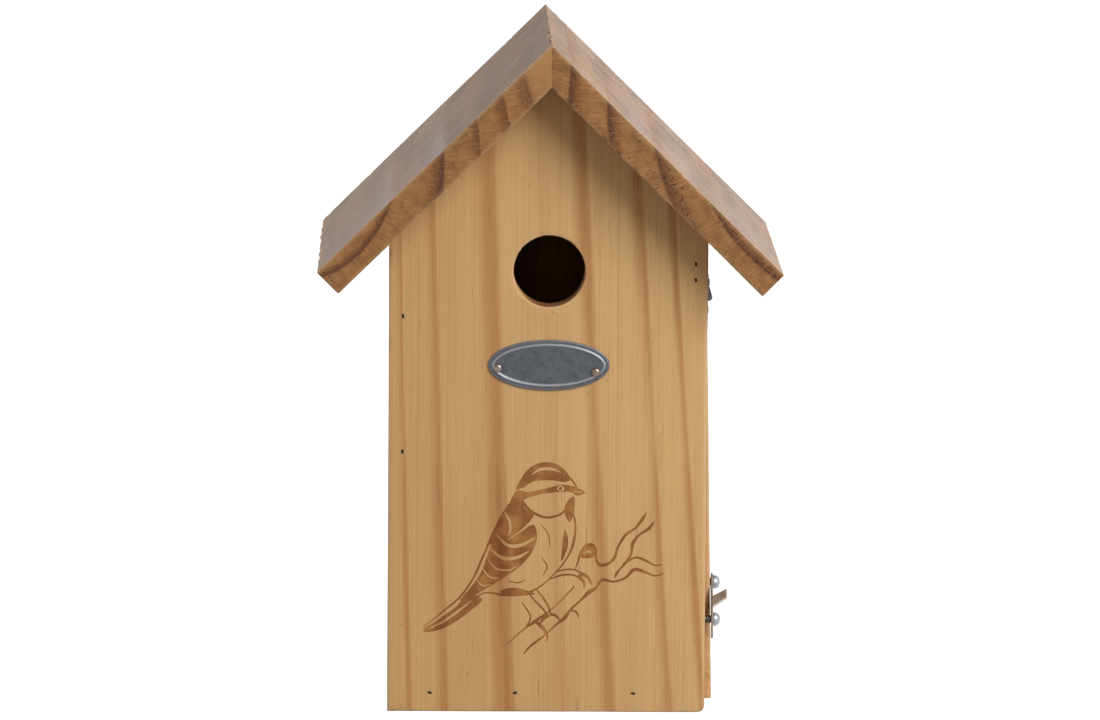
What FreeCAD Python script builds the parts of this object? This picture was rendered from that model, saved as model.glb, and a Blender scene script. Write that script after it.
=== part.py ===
"""Garden birdhouse with a side cleaning door, as a parametric FreeCAD document.

Frame: +Z up, the entrance faces -Y, and +X is the side of the cleaning door.
The origin is the bottom centre of the whole box, roof included. Millimetres.
"""
import FreeCAD, Part
import os
import re
import Sketcher

Vector = FreeCAD.Vector
Rotation = FreeCAD.Rotation
doc = FreeCAD.newDocument("birdhouse")

# ------------------------------------------------------------------ sizes
SIZES = {
    # the box
    "box_width": 125,           # front board, edge to edge
    "box_depth": 140,           # front face to back face
    "wall_height": 186.9,       # front board at its two long edges
    "front_thickness": 12,
    "back_thickness": 12,
    "side_thickness": 12,
    "floor_thickness": 12,
    "floor_recess": 1.5,        # floor's underside above the foot of the walls
    "floor_corner": 8,          # clipped corners that let water out
    "floor_door_gap": 1,
    "edge_ease": 0.8,           # rounding of the front board's face edges
    # the roof
    "roof_pitch": 44.5,         # degrees
    "roof_thickness": 12,
    "eave_overhang": 28.1,       # walls to the eave's outer corner, sideways
    "front_overhang": 20,
    "back_overhang": 0,         # flush, so that the box hangs flat on a wall
    # the entrance and the holes that hang the box
    "entrance_radius": 14,
    "entrance_drop": 12.5,       # below the tops of the front board's long edges
    "hanging_hole_radius": 2.5,
    "hanging_hole_low": 45,
    # the door and the rail above it
    "side_recess": 0.3,         # rail and door's top, inside the front board's edge
    "door_spring": 3.0,         # how far the door has sprung out at its foot
    "door_flat": 11,            # straight part of the door, below the hinge axis
    "door_foot": 3.2,           # door's lower edge above the foot of the walls
    "door_gap": 1.6,            # between the door's top edge and the rail
    "door_end_gap": 0.8,        # between the door and the front or back board
    "barrel_room": 0.9,          # bevels of door and rail over the hinge barrels
    "hinge_drop": 25.2,          # hinge axis, below the tops of the front board's long edges
    # the hinges
    "hinge_length": 25,
    "hinge_inset": 8,           # from the front or back board
    "leaf_width": 9,            # axis to the leaf's free edge
    "leaf_thickness": 0.7,
    "barrel_radius": 1.4,
    "barrel_out": 0.75,         # hinge axis past the door's face
    "pin_radius": 0.7,
    "pin_play": 0.05,           # radial, in the door leaf's knuckle
    "knuckle_gap": 0.15,
    "leaf_relief": 0.3,         # leaf edge to the other leaf's knuckles
    "hinge_screw_radius": 1,
    "hinge_screw_length": 8,
    "hinge_screw_head": 1.8,
    "hinge_screw_dome": 0.8,
    "hinge_screw_out": 5.4,     # axis to the screws
    "hinge_screw_end": 4.5,     # leaf's end to the screws
    # the latch
    "latch_thickness": 0.8,
    "latch_half_width": 3.5,
    "latch_tail": 7.7,          # hook past the keeper screw
    "tail_clip": 3,             # corner taken off the hook's front end
    "latch_face_gap": 0.75,     # between the door and the hook
    "latch_play": 0.1,          # pivot hole over its screw, radial, and under the heads
    "keeper_play": 0.3,         # hook's slot over the keeper screw, radial
    "pivot_inset": 6,           # pivot screw behind the front board's back face
    "pivot_height": 48.9,
    "keeper_height": 36.2,
    "latch_screw_radius": 1.7,
    "latch_screw_head": 2.7,
    "latch_screw_dome": 2.5,
    "latch_screw_grip": 11,     # depth in the wood
    "tab_start": 9.1,           # pivot to the thumb tab's near side, along the hook
    "tab_length": 5.5,
    "tab_tip_length": 4.3,
    "tab_reach": 5.5,
    "tab_rise": 3.8,
    # the oval plate and its nails
    "plate_half_width": 23.65,
    "plate_half_height": 9.95,
    "plate_thickness": 0.8,
    "plate_drop": 36.8,          # below the entrance
    "bead_inset": 1.0,          # plate's edge to the raised rim
    "bead_width": 1.2,
    "bead_rise": 0.5,
    "plate_nail_left": 19.9,    # from the plate's centre
    "plate_nail_left_drop": 1.3,
    "plate_nail_right": 18.3,
    "plate_nail_right_drop": 2.7,
    "plate_nail_radius": 0.7,
    "plate_nail_length": 10,
    "plate_nail_head": 1.5,
    "plate_nail_dome": 1.0,
    # the brads
    "brad_length": 22,
    "brad_width": 1.2,
    "brad_thickness": 1.0,
    "brad_head_width": 2.2,
    "brad_head_depth": 1.0,
    "brad_sink": 0.4,           # head below the wood's surface
    "side_brad_inset": 5.5,
    "side_brad_high": 30.4,      # below the tops of the long edges
    "side_brad_low": 83.7,
    "rail_brad_high": 15.9,      # above the hinge axis
    "rail_brad_low": 9.6,
    "floor_brad_left": 16.7,     # from the front board's left edge
    "floor_brad_middle": 12.4,   # left of the middle
    "floor_brad_right": 28.6,    # from its right edge
    "roof_brad_apart": 2.1,     # tips of the upper roof brads, from the middle
    "roof_brad_low": 17.6,       # from the front board's corner, up the slope
}

sheet = doc.addObject("Spreadsheet::Sheet", "sizes")
for row, (alias, value) in enumerate(SIZES.items(), start=1):
    sheet.set(f"A{row}", str(value))
    sheet.setAlias(f"A{row}", alias)
doc.recompute()


def size(words):
    """Expression text in which every alias is looked up in the sheet."""
    return re.sub("[a-z_]+", lambda found: ("sizes." if found[0] in SIZES else "") + found[0], words)


def value_now(words):
    """What an expression comes to now."""
    return float(sheet.evalExpression(size(str(words))))


# Places that several pieces share, as expressions on the sheet.
HALF_WIDTH = "(box_width / 2)"
ROOF_DEPTH = "(front_overhang + box_depth + back_overhang)"
FRONT_FACE = f"(front_overhang - {ROOF_DEPTH} / 2)"
FRONT_INNER = f"({FRONT_FACE} + front_thickness)"
BACK_FACE = f"({FRONT_FACE} + box_depth)"
BACK_INNER = f"({BACK_FACE} - back_thickness)"
INNER_DEPTH = "(box_depth - front_thickness - back_thickness)"
APEX = f"(wall_height + {HALF_WIDTH} * tan(roof_pitch))"
RIDGE = f"({APEX} + roof_thickness / cos(roof_pitch))"
ENTRANCE_HEIGHT = "(wall_height - entrance_drop)"
PLATE_HEIGHT = f"({ENTRANCE_HEIGHT} - plate_drop)"
HINGE_HEIGHT = "(wall_height - hinge_drop)"
BARREL_CHAMFER = "(barrel_radius + barrel_room - door_gap / 2)"
DOOR_FACE = f"({HALF_WIDTH} - side_recess)"
DOOR_INNER = f"({DOOR_FACE} - side_thickness)"
DOOR_BEND = f"({HINGE_HEIGHT} - door_flat)"
PIVOT_FACE = f"({DOOR_FACE} + door_spring * ({DOOR_BEND} - pivot_height) / ({DOOR_BEND} - door_foot))"
HINGE_X = f"({DOOR_FACE} + barrel_out)"
LATCH_X = f"({PIVOT_FACE} + latch_face_gap)"
PIVOT_Y = f"({FRONT_INNER} + pivot_inset)"
KEEPER_Y = f"({FRONT_FACE} + front_thickness / 2)"
LATCH_BACK = f"({PIVOT_Y} - {KEEPER_Y})"
LATCH_DROP = "(pivot_height - keeper_height)"
LATCH_RADIUS = f"(sqrt({LATCH_BACK} ^ 2 + {LATCH_DROP} ^ 2))"


def roof_underside(x):
    """Height of the roof's underside at a distance x from the middle."""
    return f"({APEX} - {x} * tan(roof_pitch))"


# ---------------------------------------------------------------- helpers
def bind(obj, **expressions):
    for name, words in expressions.items():
        obj.setExpression(name, size(str(words)))
    return obj


def put(obj, x="0", y="0", z="0"):
    """Place an object by expressions."""
    for axis, words in (("x", x), ("y", y), ("z", z)):
        obj.setExpression("Placement.Base." + axis, size(str(words)))
    return obj


def turn(obj, axis, degrees):
    """Turn an object by an angle, or by an expression for one."""
    obj.Placement = FreeCAD.Placement(Vector(), Rotation(Vector(*axis), 1))
    obj.setExpression("Placement.Rotation.Angle", size(str(degrees)))
    return obj


def box(name, lx, ly, lz, x="0", y="0", z="0"):
    """A block from its low corner."""
    block = doc.addObject("Part::Box", name)
    bind(block, Length=lx, Width=ly, Height=lz)
    return put(block, x, y, z)


AXES = {
    "+X": ((0, 1, 0), 90),
    "+Y": ((-1, 0, 0), 90),
    "-Y": ((1, 0, 0), 90),
    "+Z": ((0, 0, 1), 0),
}


def rod(name, toward, radius, length, x="0", y="0", z="0"):
    """A round bar from its near end, along one axis."""
    bar = doc.addObject("Part::Cylinder", name)
    bind(bar, Radius=radius, Height=length)
    turn(bar, *AXES[toward])
    return put(bar, x, y, z)


def fuse(name, shapes):
    joined = doc.addObject("Part::MultiFuse", name)
    joined.Shapes = shapes
    joined.Refine = True
    return joined


def cut(name, base, tools):
    """Take a list of tools from a base."""
    tool = tools[0]
    if len(tools) > 1:
        tool = group(name + "_tools", tools)
    rest = doc.addObject("Part::Cut", name)
    rest.Base = base
    rest.Tool = tool
    return rest


def group(name, members):
    """Separate solids kept together."""
    together = doc.addObject("Part::Compound", name)
    together.Links = members
    return together


def outline(body, name, role, points):
    """A closed sketch of straight lines on one of the body's own planes, every corner bound."""
    sketch = body.newObject("Sketcher::SketchObject", name)
    plane = next(f for f in body.Origin.OriginFeatures if f.Role == role)
    sketch.AttachmentSupport = [(plane, "")]
    sketch.MapMode = "FlatFace"
    rough = [(value_now(x), value_now(y)) for x, y in points]
    count = len(points)
    for i, (x, y) in enumerate(rough):
        nx, ny = rough[(i + 1) % count]
        sketch.addGeometry(Part.LineSegment(Vector(x, y, 0), Vector(nx, ny, 0)))
    for i in range(count):
        sketch.addConstraint(Sketcher.Constraint("Coincident", i, 2, (i + 1) % count, 1))
    for i, (x, y) in enumerate(points):
        for kind, words, value in (("DistanceX", x, rough[i][0]), ("DistanceY", y, rough[i][1])):
            index = sketch.addConstraint(Sketcher.Constraint(kind, -1, 1, i, 1, value))
            sketch.setExpression(f"Constraints[{index}]", size(str(words)))
    return sketch


def prism(name, role, points, length, reverse=False):
    """A body padded from one outline."""
    body = doc.addObject("PartDesign::Body", name)
    sketch = outline(body, name + "_outline", role, points)
    pad = body.newObject("PartDesign::Pad", name + "_pad")
    pad.Profile = sketch
    pad.Reversed = reverse
    bind(pad, Length=length)
    return body


def bore(body, name, role, circles):
    """Round holes right through a body, each given by its place and radius."""
    sketch = body.newObject("Sketcher::SketchObject", name + "_circles")
    plane = next(f for f in body.Origin.OriginFeatures if f.Role == role)
    sketch.AttachmentSupport = [(plane, "")]
    sketch.MapMode = "FlatFace"
    for i, (x, y, radius) in enumerate(circles):
        centre = Vector(value_now(x), value_now(y), 0)
        sketch.addGeometry(Part.Circle(centre, Vector(0, 0, 1), value_now(radius)))
        settings = (("DistanceX", (-1, 1, i, 3), centre.x, x), ("DistanceY", (-1, 1, i, 3), centre.y, y),
                    ("Radius", (i,), value_now(radius), radius))
        for kind, where, value, words in settings:
            if words == "0":
                sketch.addConstraint(Sketcher.Constraint("PointOnObject", i, 3, -2))
                continue
            index = sketch.addConstraint(Sketcher.Constraint(kind, *where, value))
            sketch.setExpression(f"Constraints[{index}]", size(str(words)))
    before = body.Tip.Name
    pocket = body.newObject("PartDesign::Pocket", name)
    pocket.Profile = sketch
    pocket.Type = "ThroughAll"
    doc.recompute()
    if pocket.Shape.Volume >= doc.getObject(before).Shape.Volume:
        raise RuntimeError(name + " cut nothing")
    return pocket


SUBPARTS = {}


def subpart(node, obj):
    """Name a finished sub-part."""
    obj.Label = node
    SUBPARTS[node] = obj
    return obj


# --------------------------------------------------------------- fasteners
def domed_screw(name, toward, radius, length, head, dome, x, y, z):
    """A round shank with a domed head whose flat underside is at the given place.

    toward is the way the head faces.
    """
    shank = rod(name + "_shank", "+Z", radius, f"{length} - {radius}", z=f"{radius} - {length}")
    point = doc.addObject("Part::Cone", name + "_point")
    bind(point, Radius1=f"{radius} / 4", Radius2=radius, Height=radius)
    put(point, z=f"0 - {length}")
    ball = f"(({head} ^ 2 + {dome} ^ 2) / (2 * {dome}))"
    cap = doc.addObject("Part::Sphere", name + "_head")
    bind(cap, Radius=ball, Angle1=f"asin(({ball} - {dome}) / {ball})")
    put(cap, z=f"{dome} - {ball}")
    screw = fuse(name, [shank, point, cap])
    turn(screw, *AXES[toward])
    return put(screw, x, y, z)


def brad(name, axis, degrees, x, y, z, upright=False):
    """A T-headed brad driven along its own -Z, sunk in the surface at the given place.

    Returns the brad and the hole that it sits in. Upright turns the head's long side.
    """
    across = ("brad_width", "brad_thickness") if not upright else ("brad_thickness", "brad_width")
    head = ("brad_head_width", "brad_width") if not upright else ("brad_width", "brad_head_width")

    def block(part, sizes, height, top):
        return box(f"{name}_{part}", *sizes, height, f"{sizes[0]} / -2", f"{sizes[1]} / -2",
                   f"{top} - {height}")

    wire = block("wire", across, "brad_length", "0 - brad_sink")
    cap = block("cap", head, "brad_head_depth", "0 - brad_sink")
    nail = fuse(name, [wire, cap])
    wire_hole = block("wire_hole", across, "brad_length", "0 - brad_sink")
    cap_hole = block("cap_hole", head, "(brad_head_depth + brad_sink + 1)", "1")
    hole = fuse(name + "_hole", [wire_hole, cap_hole])
    for shape in (nail, hole):
        turn(shape, axis, degrees)
        put(shape, x, y, z)
    return nail, hole


def wall_brads(name, wall_face, toward):
    """Brads through the front or the back board into the left side, the rail and the floor.

    Returns their holes, listed by the board that they hold.
    """
    left = f"(side_brad_inset - {HALF_WIDTH})"
    right = f"({HALF_WIDTH} - side_brad_inset)"
    under = "(floor_recess + floor_thickness / 2)"
    places = [
        ("side", left, "(wall_height - side_brad_high)"),
        ("side", left, "(wall_height - side_brad_low)"),
        ("rail", right, f"({HINGE_HEIGHT} + rail_brad_high)"),
        ("rail", right, f"({HINGE_HEIGHT} + rail_brad_low)"),
        ("floor", f"(floor_brad_left - {HALF_WIDTH})", under),
        ("floor", "(0 - floor_brad_middle)", under),
        ("floor", f"({HALF_WIDTH} - floor_brad_right)", under),
    ]
    nails = []
    holes = {"side": [], "rail": [], "floor": []}
    for i, (board, x, z) in enumerate(places, start=1):
        nail, hole = brad(f"{name}_{i}", *AXES[toward], x, wall_face, z, upright=board != "floor")
        nails.append(nail)
        holes[board].append(hole)
    subpart(name, group(name, nails))
    return holes


def roof_brads(side, sign):
    """Brads through one roof board into the sloping edges of the front and back boards."""
    nails = []
    holes = {"front": [], "back": []}
    walls = (
        ("front", f"({FRONT_FACE} + front_thickness / 2)"),
        ("back", f"({BACK_FACE} - back_thickness / 2)"),
    )
    levels = (
        ("high", "(((brad_length + brad_sink) * sin(roof_pitch) + roof_brad_apart) / cos(roof_pitch))"),
        ("low", f"({HALF_WIDTH} / cos(roof_pitch) - roof_brad_low)"),
    )
    for wall, y in walls:
        for level, along in levels:
            nail, hole = brad(
                f"roof_{side}_{wall}_{level}", (0, sign, 0), "roof_pitch",
                f"{sign} * {along} * cos(roof_pitch)", y, f"{RIDGE} - {along} * sin(roof_pitch)", True)
            nails.append(nail)
            holes[wall].append(hole)
    return nails, holes


# ------------------------------------------------------------------ boards
def gable_points():
    return [
        (f"0 - {HALF_WIDTH}", "0"), (HALF_WIDTH, "0"), (HALF_WIDTH, "wall_height"),
        ("0", APEX), (f"0 - {HALF_WIDTH}", "wall_height"),
    ]


def gable_board(name, thickness, y, circles):
    """A five-cornered board from its front face back."""
    board = prism(name + "_board", "XZ_Plane", gable_points(), thickness, reverse=True)
    put(board, y=y)
    bore(board, name + "_bores", "XZ_Plane", circles)
    return board


def ease_front_edges(board):
    """Round the edges of the front board's face along its foot and its two long sides."""
    doc.recompute()
    tip = board.Tip
    half = value_now(HALF_WIDTH)
    wall = value_now("wall_height")
    names = []
    for i, edge in enumerate(tip.Shape.Edges, start=1):
        bb = edge.BoundBox
        on_face = bb.YMax < 0.001
        long_side = abs(abs(bb.XMin) - half) < 0.001 and bb.XLength < 0.001 and bb.ZMax < wall + 0.001
        foot = bb.ZMax < 0.001
        if on_face and (long_side or foot):
            names.append(f"Edge{i}")
    ease = board.newObject("PartDesign::Fillet", "front_edge_ease")
    ease.Base = (tip, names)
    bind(ease, Radius="edge_ease")
    return ease


def front_board(holes):
    board = gable_board("front", "front_thickness", FRONT_FACE, [("0", ENTRANCE_HEIGHT, "entrance_radius")])
    ease_front_edges(board)
    return subpart("front_board", cut("front_board", board, holes))


def back_board(holes):
    circles = [("0", height, "hanging_hole_radius") for height in (ENTRANCE_HEIGHT, "hanging_hole_low")]
    board = gable_board("back", "back_thickness", BACK_INNER, circles)
    return subpart("back_board", cut("back_board", board, holes))


def left_side_board(holes):
    outer = HALF_WIDTH
    inner = f"({HALF_WIDTH} - side_thickness)"
    points = [(f"0 - {outer}", "0"), (f"0 - {inner}", "0"), (f"0 - {inner}", roof_underside(inner)),
              (f"0 - {outer}", roof_underside(outer))]
    board = prism("left_side", "XZ_Plane", points, INNER_DEPTH, reverse=True)
    put(board, y=FRONT_INNER)
    return subpart("left_side_board", cut("left_side_board", board, holes))


def right_top_rail(holes):
    low = f"({HINGE_HEIGHT} + door_gap / 2)"
    points = [
        (DOOR_INNER, low), (f"{DOOR_FACE} - {BARREL_CHAMFER}", low), (DOOR_FACE, f"{low} + {BARREL_CHAMFER}"),
        (DOOR_FACE, roof_underside(DOOR_FACE)), (DOOR_INNER, roof_underside(DOOR_INNER)),
    ]
    rail = prism("rail", "XZ_Plane", points, INNER_DEPTH, reverse=True)
    put(rail, y=FRONT_INNER)
    return subpart("right_top_rail", cut("right_top_rail", rail, holes))


def side_door(holes):
    top = f"({HINGE_HEIGHT} - door_gap / 2)"
    points = [
        (f"{DOOR_INNER} + door_spring", "door_foot"), (f"{DOOR_FACE} + door_spring", "door_foot"),
        (DOOR_FACE, DOOR_BEND), (DOOR_FACE, f"{top} - {BARREL_CHAMFER}"),
        (f"{DOOR_FACE} - {BARREL_CHAMFER}", top), (DOOR_INNER, top), (DOOR_INNER, DOOR_BEND),
    ]
    door = prism("door", "XZ_Plane", points, f"{INNER_DEPTH} - 2 * door_end_gap", reverse=True)
    put(door, y=f"{FRONT_INNER} + door_end_gap")
    return subpart("side_door", cut("side_door", door, holes))


def floor_board(holes):
    left = f"(side_thickness - {HALF_WIDTH})"
    right = f"({DOOR_INNER} - floor_door_gap)"
    clip = "floor_corner"
    points = [
        (f"{left} + {clip}", "0"), (f"{right} - {clip}", "0"), (right, clip),
        (right, f"{INNER_DEPTH} - {clip}"), (f"{right} - {clip}", INNER_DEPTH),
        (f"{left} + {clip}", INNER_DEPTH), (left, f"{INNER_DEPTH} - {clip}"), (left, clip),
    ]
    board = prism("floor", "XY_Plane", points, "floor_thickness")
    put(board, y=FRONT_INNER, z="floor_recess")
    return subpart("floor_board", cut("floor_board", board, holes))


def roof_board(side, sign, holes):
    """One slope, mitred at the ridge and sawn square at the eave."""
    ridge_in = f"({RIDGE} - roof_thickness / cos(roof_pitch))"
    eave_x = f"({HALF_WIDTH} + eave_overhang)"
    eave_z = f"({RIDGE} - {eave_x} * tan(roof_pitch))"
    points = [
        ("0", ridge_in), ("0", RIDGE), (f"{sign} * {eave_x}", eave_z),
        (f"{sign} * ({eave_x} - roof_thickness * sin(roof_pitch))",
         f"{eave_z} - roof_thickness * cos(roof_pitch)"),
    ]
    board = prism(f"roof_{side}", "XZ_Plane", points, ROOF_DEPTH, reverse=True)
    put(board, y=f"0 - {ROOF_DEPTH} / 2")
    return subpart(f"roof_board_{side}", cut(f"roof_board_{side}", board, holes))


# ------------------------------------------------------------------ hinges
def knuckle(name, y, length):
    """One knuckle of a barrel, and the wider cut that keeps the other leaf clear of it."""
    tube = rod(name, "+Y", "barrel_radius", length, HINGE_X, y, HINGE_HEIGHT)
    reach = "(barrel_radius + leaf_relief)"
    room = box(name + "_room", "barrel_radius * 4", f"{length} + 2 * knuckle_gap", f"2 * {reach}",
               f"{HINGE_X} - barrel_radius * 2", f"{y} - knuckle_gap", f"{HINGE_HEIGHT} - {reach}")
    return tube, room


def hinge_leaf(label, y, way, own, other_rooms, bore_radius):
    """A leaf with its knuckles. way is 1 for the leaf above the axis and -1 for the one below."""
    low = HINGE_HEIGHT if way > 0 else f"({HINGE_HEIGHT} - leaf_width)"
    plate = box(label + "_plate", "leaf_thickness", "hinge_length", "leaf_width", DOOR_FACE, y, low)
    trimmed = cut(label + "_trimmed", plate, other_rooms)
    solid = fuse(label + "_solid", [trimmed] + own)
    drill = [rod(label + "_pin_bore", "+Y", bore_radius, "hinge_length + 2", HINGE_X, f"{y} - 1",
                 HINGE_HEIGHT)]
    for end, screw_y in screw_places(y):
        drill.append(rod(f"{label}_hole_{end}", "+X", "hinge_screw_radius", "leaf_thickness + 2",
                         f"{DOOR_FACE} - 1", screw_y, f"{HINGE_HEIGHT} + {way} * hinge_screw_out"))
    return subpart(label, cut(label, solid, drill))


def screw_places(y):
    return (("near", f"{y} + hinge_screw_end"), ("far", f"{y} + hinge_length - hinge_screw_end"))


def hinge(place, y):
    """A butt hinge: two knuckles on the rail's leaf, one on the door's, and a pin."""
    third = "(hinge_length / 3)"
    near, near_room = knuckle(f"{place}_near", y, third)
    middle, middle_room = knuckle(
        f"{place}_middle", f"{y} + {third} + knuckle_gap", f"{third} - 2 * knuckle_gap")
    far, far_room = knuckle(f"{place}_far", f"{y} + 2 * {third}", third)
    hinge_leaf(f"hinge_{place}_rail_leaf", y, 1, [near, far], [middle_room], "pin_radius")
    hinge_leaf(f"hinge_{place}_door_leaf", y, -1, [middle], [near_room, far_room], "pin_radius + pin_play")
    pin = rod(f"{place}_pin", "+Y", "pin_radius", "hinge_length", HINGE_X, y, HINGE_HEIGHT)
    return subpart(f"hinge_{place}_pin", pin)


def hinge_screws(board, way, starts):
    """All the screws of one row of leaves, heads outwards."""
    screws = []
    for place, y in starts:
        for end, screw_y in screw_places(y):
            screws.append(domed_screw(
                f"{board}_{place}_{end}_screw", "+X", "hinge_screw_radius",
                "(hinge_screw_length + leaf_thickness)", "hinge_screw_head", "hinge_screw_dome",
                f"{DOOR_FACE} + leaf_thickness", screw_y, f"{HINGE_HEIGHT} + {way} * hinge_screw_out"))
    return subpart(f"hinge_screws_{board}", group(f"hinge_screws_{board}", screws))


# ------------------------------------------------------------------- latch
def thumb_tab():
    """The tab bent out of the hook's front edge, climbing as it goes out."""
    root = "(0 - tab_start)"
    points = [
        ("0", root), ("tab_reach + latch_thickness", f"{root} + tab_rise"),
        ("tab_reach + latch_thickness", f"{root} + tab_rise - tab_tip_length"), ("0", f"{root} - tab_length"),
    ]
    tab = prism("thumb_tab", "XZ_Plane", points, "latch_thickness", reverse=True)
    return put(tab, y="0 - latch_half_width")


def latch_hook():
    """A flat hook that hangs from its pivot screw and drops over the keeper screw.

    It is built hanging straight down from the origin, with its slot open to the back,
    and then turned forwards until the slot holds the keeper.
    """
    radius = LATCH_RADIUS
    front = "(0 - latch_half_width)"
    end = f"(0 - {radius} - latch_tail)"
    strip = prism("hook_strip", "YZ_Plane", [
        (front, "0"), (front, f"{end} + tail_clip"), (f"{front} + tail_clip", end),
        ("latch_half_width - tail_clip / 2", end), ("latch_half_width", f"{end} + tail_clip / 2"),
        ("latch_half_width", "0"),
    ], "latch_thickness")
    eye = rod("hook_eye", "+X", "latch_half_width", "latch_thickness")
    blank = fuse("hook_blank", [strip, eye, thumb_tab()])
    slot_half = "(latch_screw_radius + keeper_play)"
    seat = rod("hook_seat", "+X", slot_half, "latch_thickness + 2", "-1", "0", f"0 - {radius}")
    slot = box("hook_slot", "latch_thickness + 2", "2 * latch_half_width", f"2 * {slot_half}",
               "-1", "0", f"0 - {slot_half}")
    tilted = group("hook_slot_tilted", [slot])
    turn(tilted, (1, 0, 0), f"asin(latch_half_width / {radius}) / 2")
    put(tilted, z=f"0 - {radius}")
    hole = rod("hook_hole", "+X", "latch_screw_radius + latch_play", "latch_thickness + 2", "-1")
    hook = cut("latch_hook", blank, [seat, tilted, hole])
    turn(hook, (-1, 0, 0), f"atan({LATCH_BACK} / {LATCH_DROP})")
    put(hook, LATCH_X, PIVOT_Y, "pivot_height")
    return subpart("latch_hook", hook)


def latch_screw(node, face, y, z):
    """A pan-head screw whose head stands just clear of the hook."""
    head_x = f"({LATCH_X} + latch_thickness + latch_play)"
    screw = domed_screw(node, "+X", "latch_screw_radius", f"({head_x} - {face} + latch_screw_grip)",
                        "latch_screw_head", "latch_screw_dome", head_x, y, z)
    return subpart(node, screw)


# ------------------------------------------------------------------- plate
def oval(name, shrink, depth, y):
    """An upright oval slab, its edge set in from the plate's by a given amount."""
    ring = doc.addObject("Part::Ellipse", name + "_edge")
    bind(ring, MajorRadius=f"plate_half_width - {shrink}", MinorRadius=f"plate_half_height - {shrink}")
    slab = doc.addObject("Part::Extrusion", name)
    slab.Base = ring
    slab.DirMode = "Custom"
    slab.Dir = Vector(0, 0, 1)
    slab.Solid = True
    bind(slab, LengthFwd=depth)
    turn(slab, *AXES["-Y"])
    return put(slab, "0", y, PLATE_HEIGHT)


def name_plate():
    """An oval metal plate with a raised rim and nothing on it."""
    plate = oval("plate_sheet", "0", "plate_thickness", FRONT_FACE)
    outer = oval("bead_outer", "bead_inset", "plate_thickness + bead_rise", FRONT_FACE)
    inner = oval("bead_inner", "(bead_inset + bead_width)", "plate_thickness + bead_rise", FRONT_FACE)
    bead = cut("plate_bead", outer, [inner])
    blank = fuse("plate_blank", [plate, bead])
    holes = []
    for side, x, z in plate_nail_places():
        holes.append(rod(f"plate_hole_{side}", "-Y", "plate_nail_radius", "plate_thickness + 2",
                         x, f"{FRONT_FACE} + 1", z))
        holes.append(rod(f"plate_seat_{side}", "-Y", "plate_nail_head", "2",
                         x, f"{FRONT_FACE} - plate_thickness", z))
    return subpart("name_plate", cut("name_plate", blank, holes))


def plate_nail_places():
    return (
        ("left", "(0 - plate_nail_left)", f"({PLATE_HEIGHT} - plate_nail_left_drop)"),
        ("right", "plate_nail_right", f"({PLATE_HEIGHT} - plate_nail_right_drop)"),
    )


def plate_nails():
    nails = []
    for side, x, z in plate_nail_places():
        nails.append(domed_screw(
            f"plate_nail_{side}", "-Y", "plate_nail_radius", "(plate_nail_length + plate_thickness)",
            "plate_nail_head", "plate_nail_dome", x, f"{FRONT_FACE} - plate_thickness", z))
    return subpart("plate_nails", group("plate_nails", nails))


# ---------------------------------------------------------------- assembly
def assemble():
    front_holes = wall_brads("front_brads", FRONT_FACE, "-Y")
    back_holes = wall_brads("back_brads", BACK_FACE, "+Y")
    left_nails, left_holes = roof_brads("left", -1)
    right_nails, right_holes = roof_brads("right", 1)
    subpart("roof_brads", group("roof_brads", left_nails + right_nails))

    starts = (
        ("front", f"({FRONT_INNER} + hinge_inset)"),
        ("rear", f"({BACK_INNER} - hinge_inset - hinge_length)"),
    )
    for place, y in starts:
        hinge(place, y)
    rail_screws = hinge_screws("rail", 1, starts)
    door_screws = hinge_screws("door", -1, starts)

    pivot = latch_screw("latch_pivot_screw", PIVOT_FACE, PIVOT_Y, "pivot_height")
    keeper = latch_screw("latch_keeper_screw", HALF_WIDTH, KEEPER_Y, "keeper_height")
    latch_hook()
    name_plate()
    nails = plate_nails()

    front_board(sum(front_holes.values(), []) + left_holes["front"] + right_holes["front"] + [keeper, nails])
    back_board(sum(back_holes.values(), []) + left_holes["back"] + right_holes["back"])
    left_side_board(front_holes["side"] + back_holes["side"])
    right_top_rail(front_holes["rail"] + back_holes["rail"] + [rail_screws])
    floor_board(front_holes["floor"] + back_holes["floor"])
    side_door([door_screws, pivot])
    roof_board("left", -1, left_holes["front"] + left_holes["back"])
    roof_board("right", 1, right_holes["front"] + right_holes["back"])


def check_document():
    """Stop before anything is written if a feature failed or a sub-part isn't sound."""
    for obj in doc.Objects:
        if "Invalid" in obj.State or "Error" in obj.State:
            raise RuntimeError(f"{obj.Label} failed: {obj.State}")
    for node, obj in SUBPARTS.items():
        if obj.Shape.isNull() or not obj.Shape.isValid() or not obj.Shape.Solids:
            raise RuntimeError(node + " isn't a sound solid")


def export():
    os.makedirs("parts", exist_ok=True)
    for node, obj in SUBPARTS.items():
        obj.Shape.exportStep(f"parts/{node}.step")
        bb = obj.Shape.BoundBox
        print(f"{node:24} {len(obj.Shape.Solids)} solid(s) {obj.Shape.Volume:10.1f} mm3  {bb}")


assemble()
doc.recompute()
check_document()
export()
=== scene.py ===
"""A pine nest box with a gable roof, a hinged side door and a zinc plate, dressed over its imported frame.

Lengths are in millimetres here and become metres where a mesh is made. x runs to the door's side,
y to the back and z up.
"""

import math

import bmesh
import bpy
import numpy as np
from mathutils import Matrix, Vector, geometry, kdtree, noise


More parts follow.
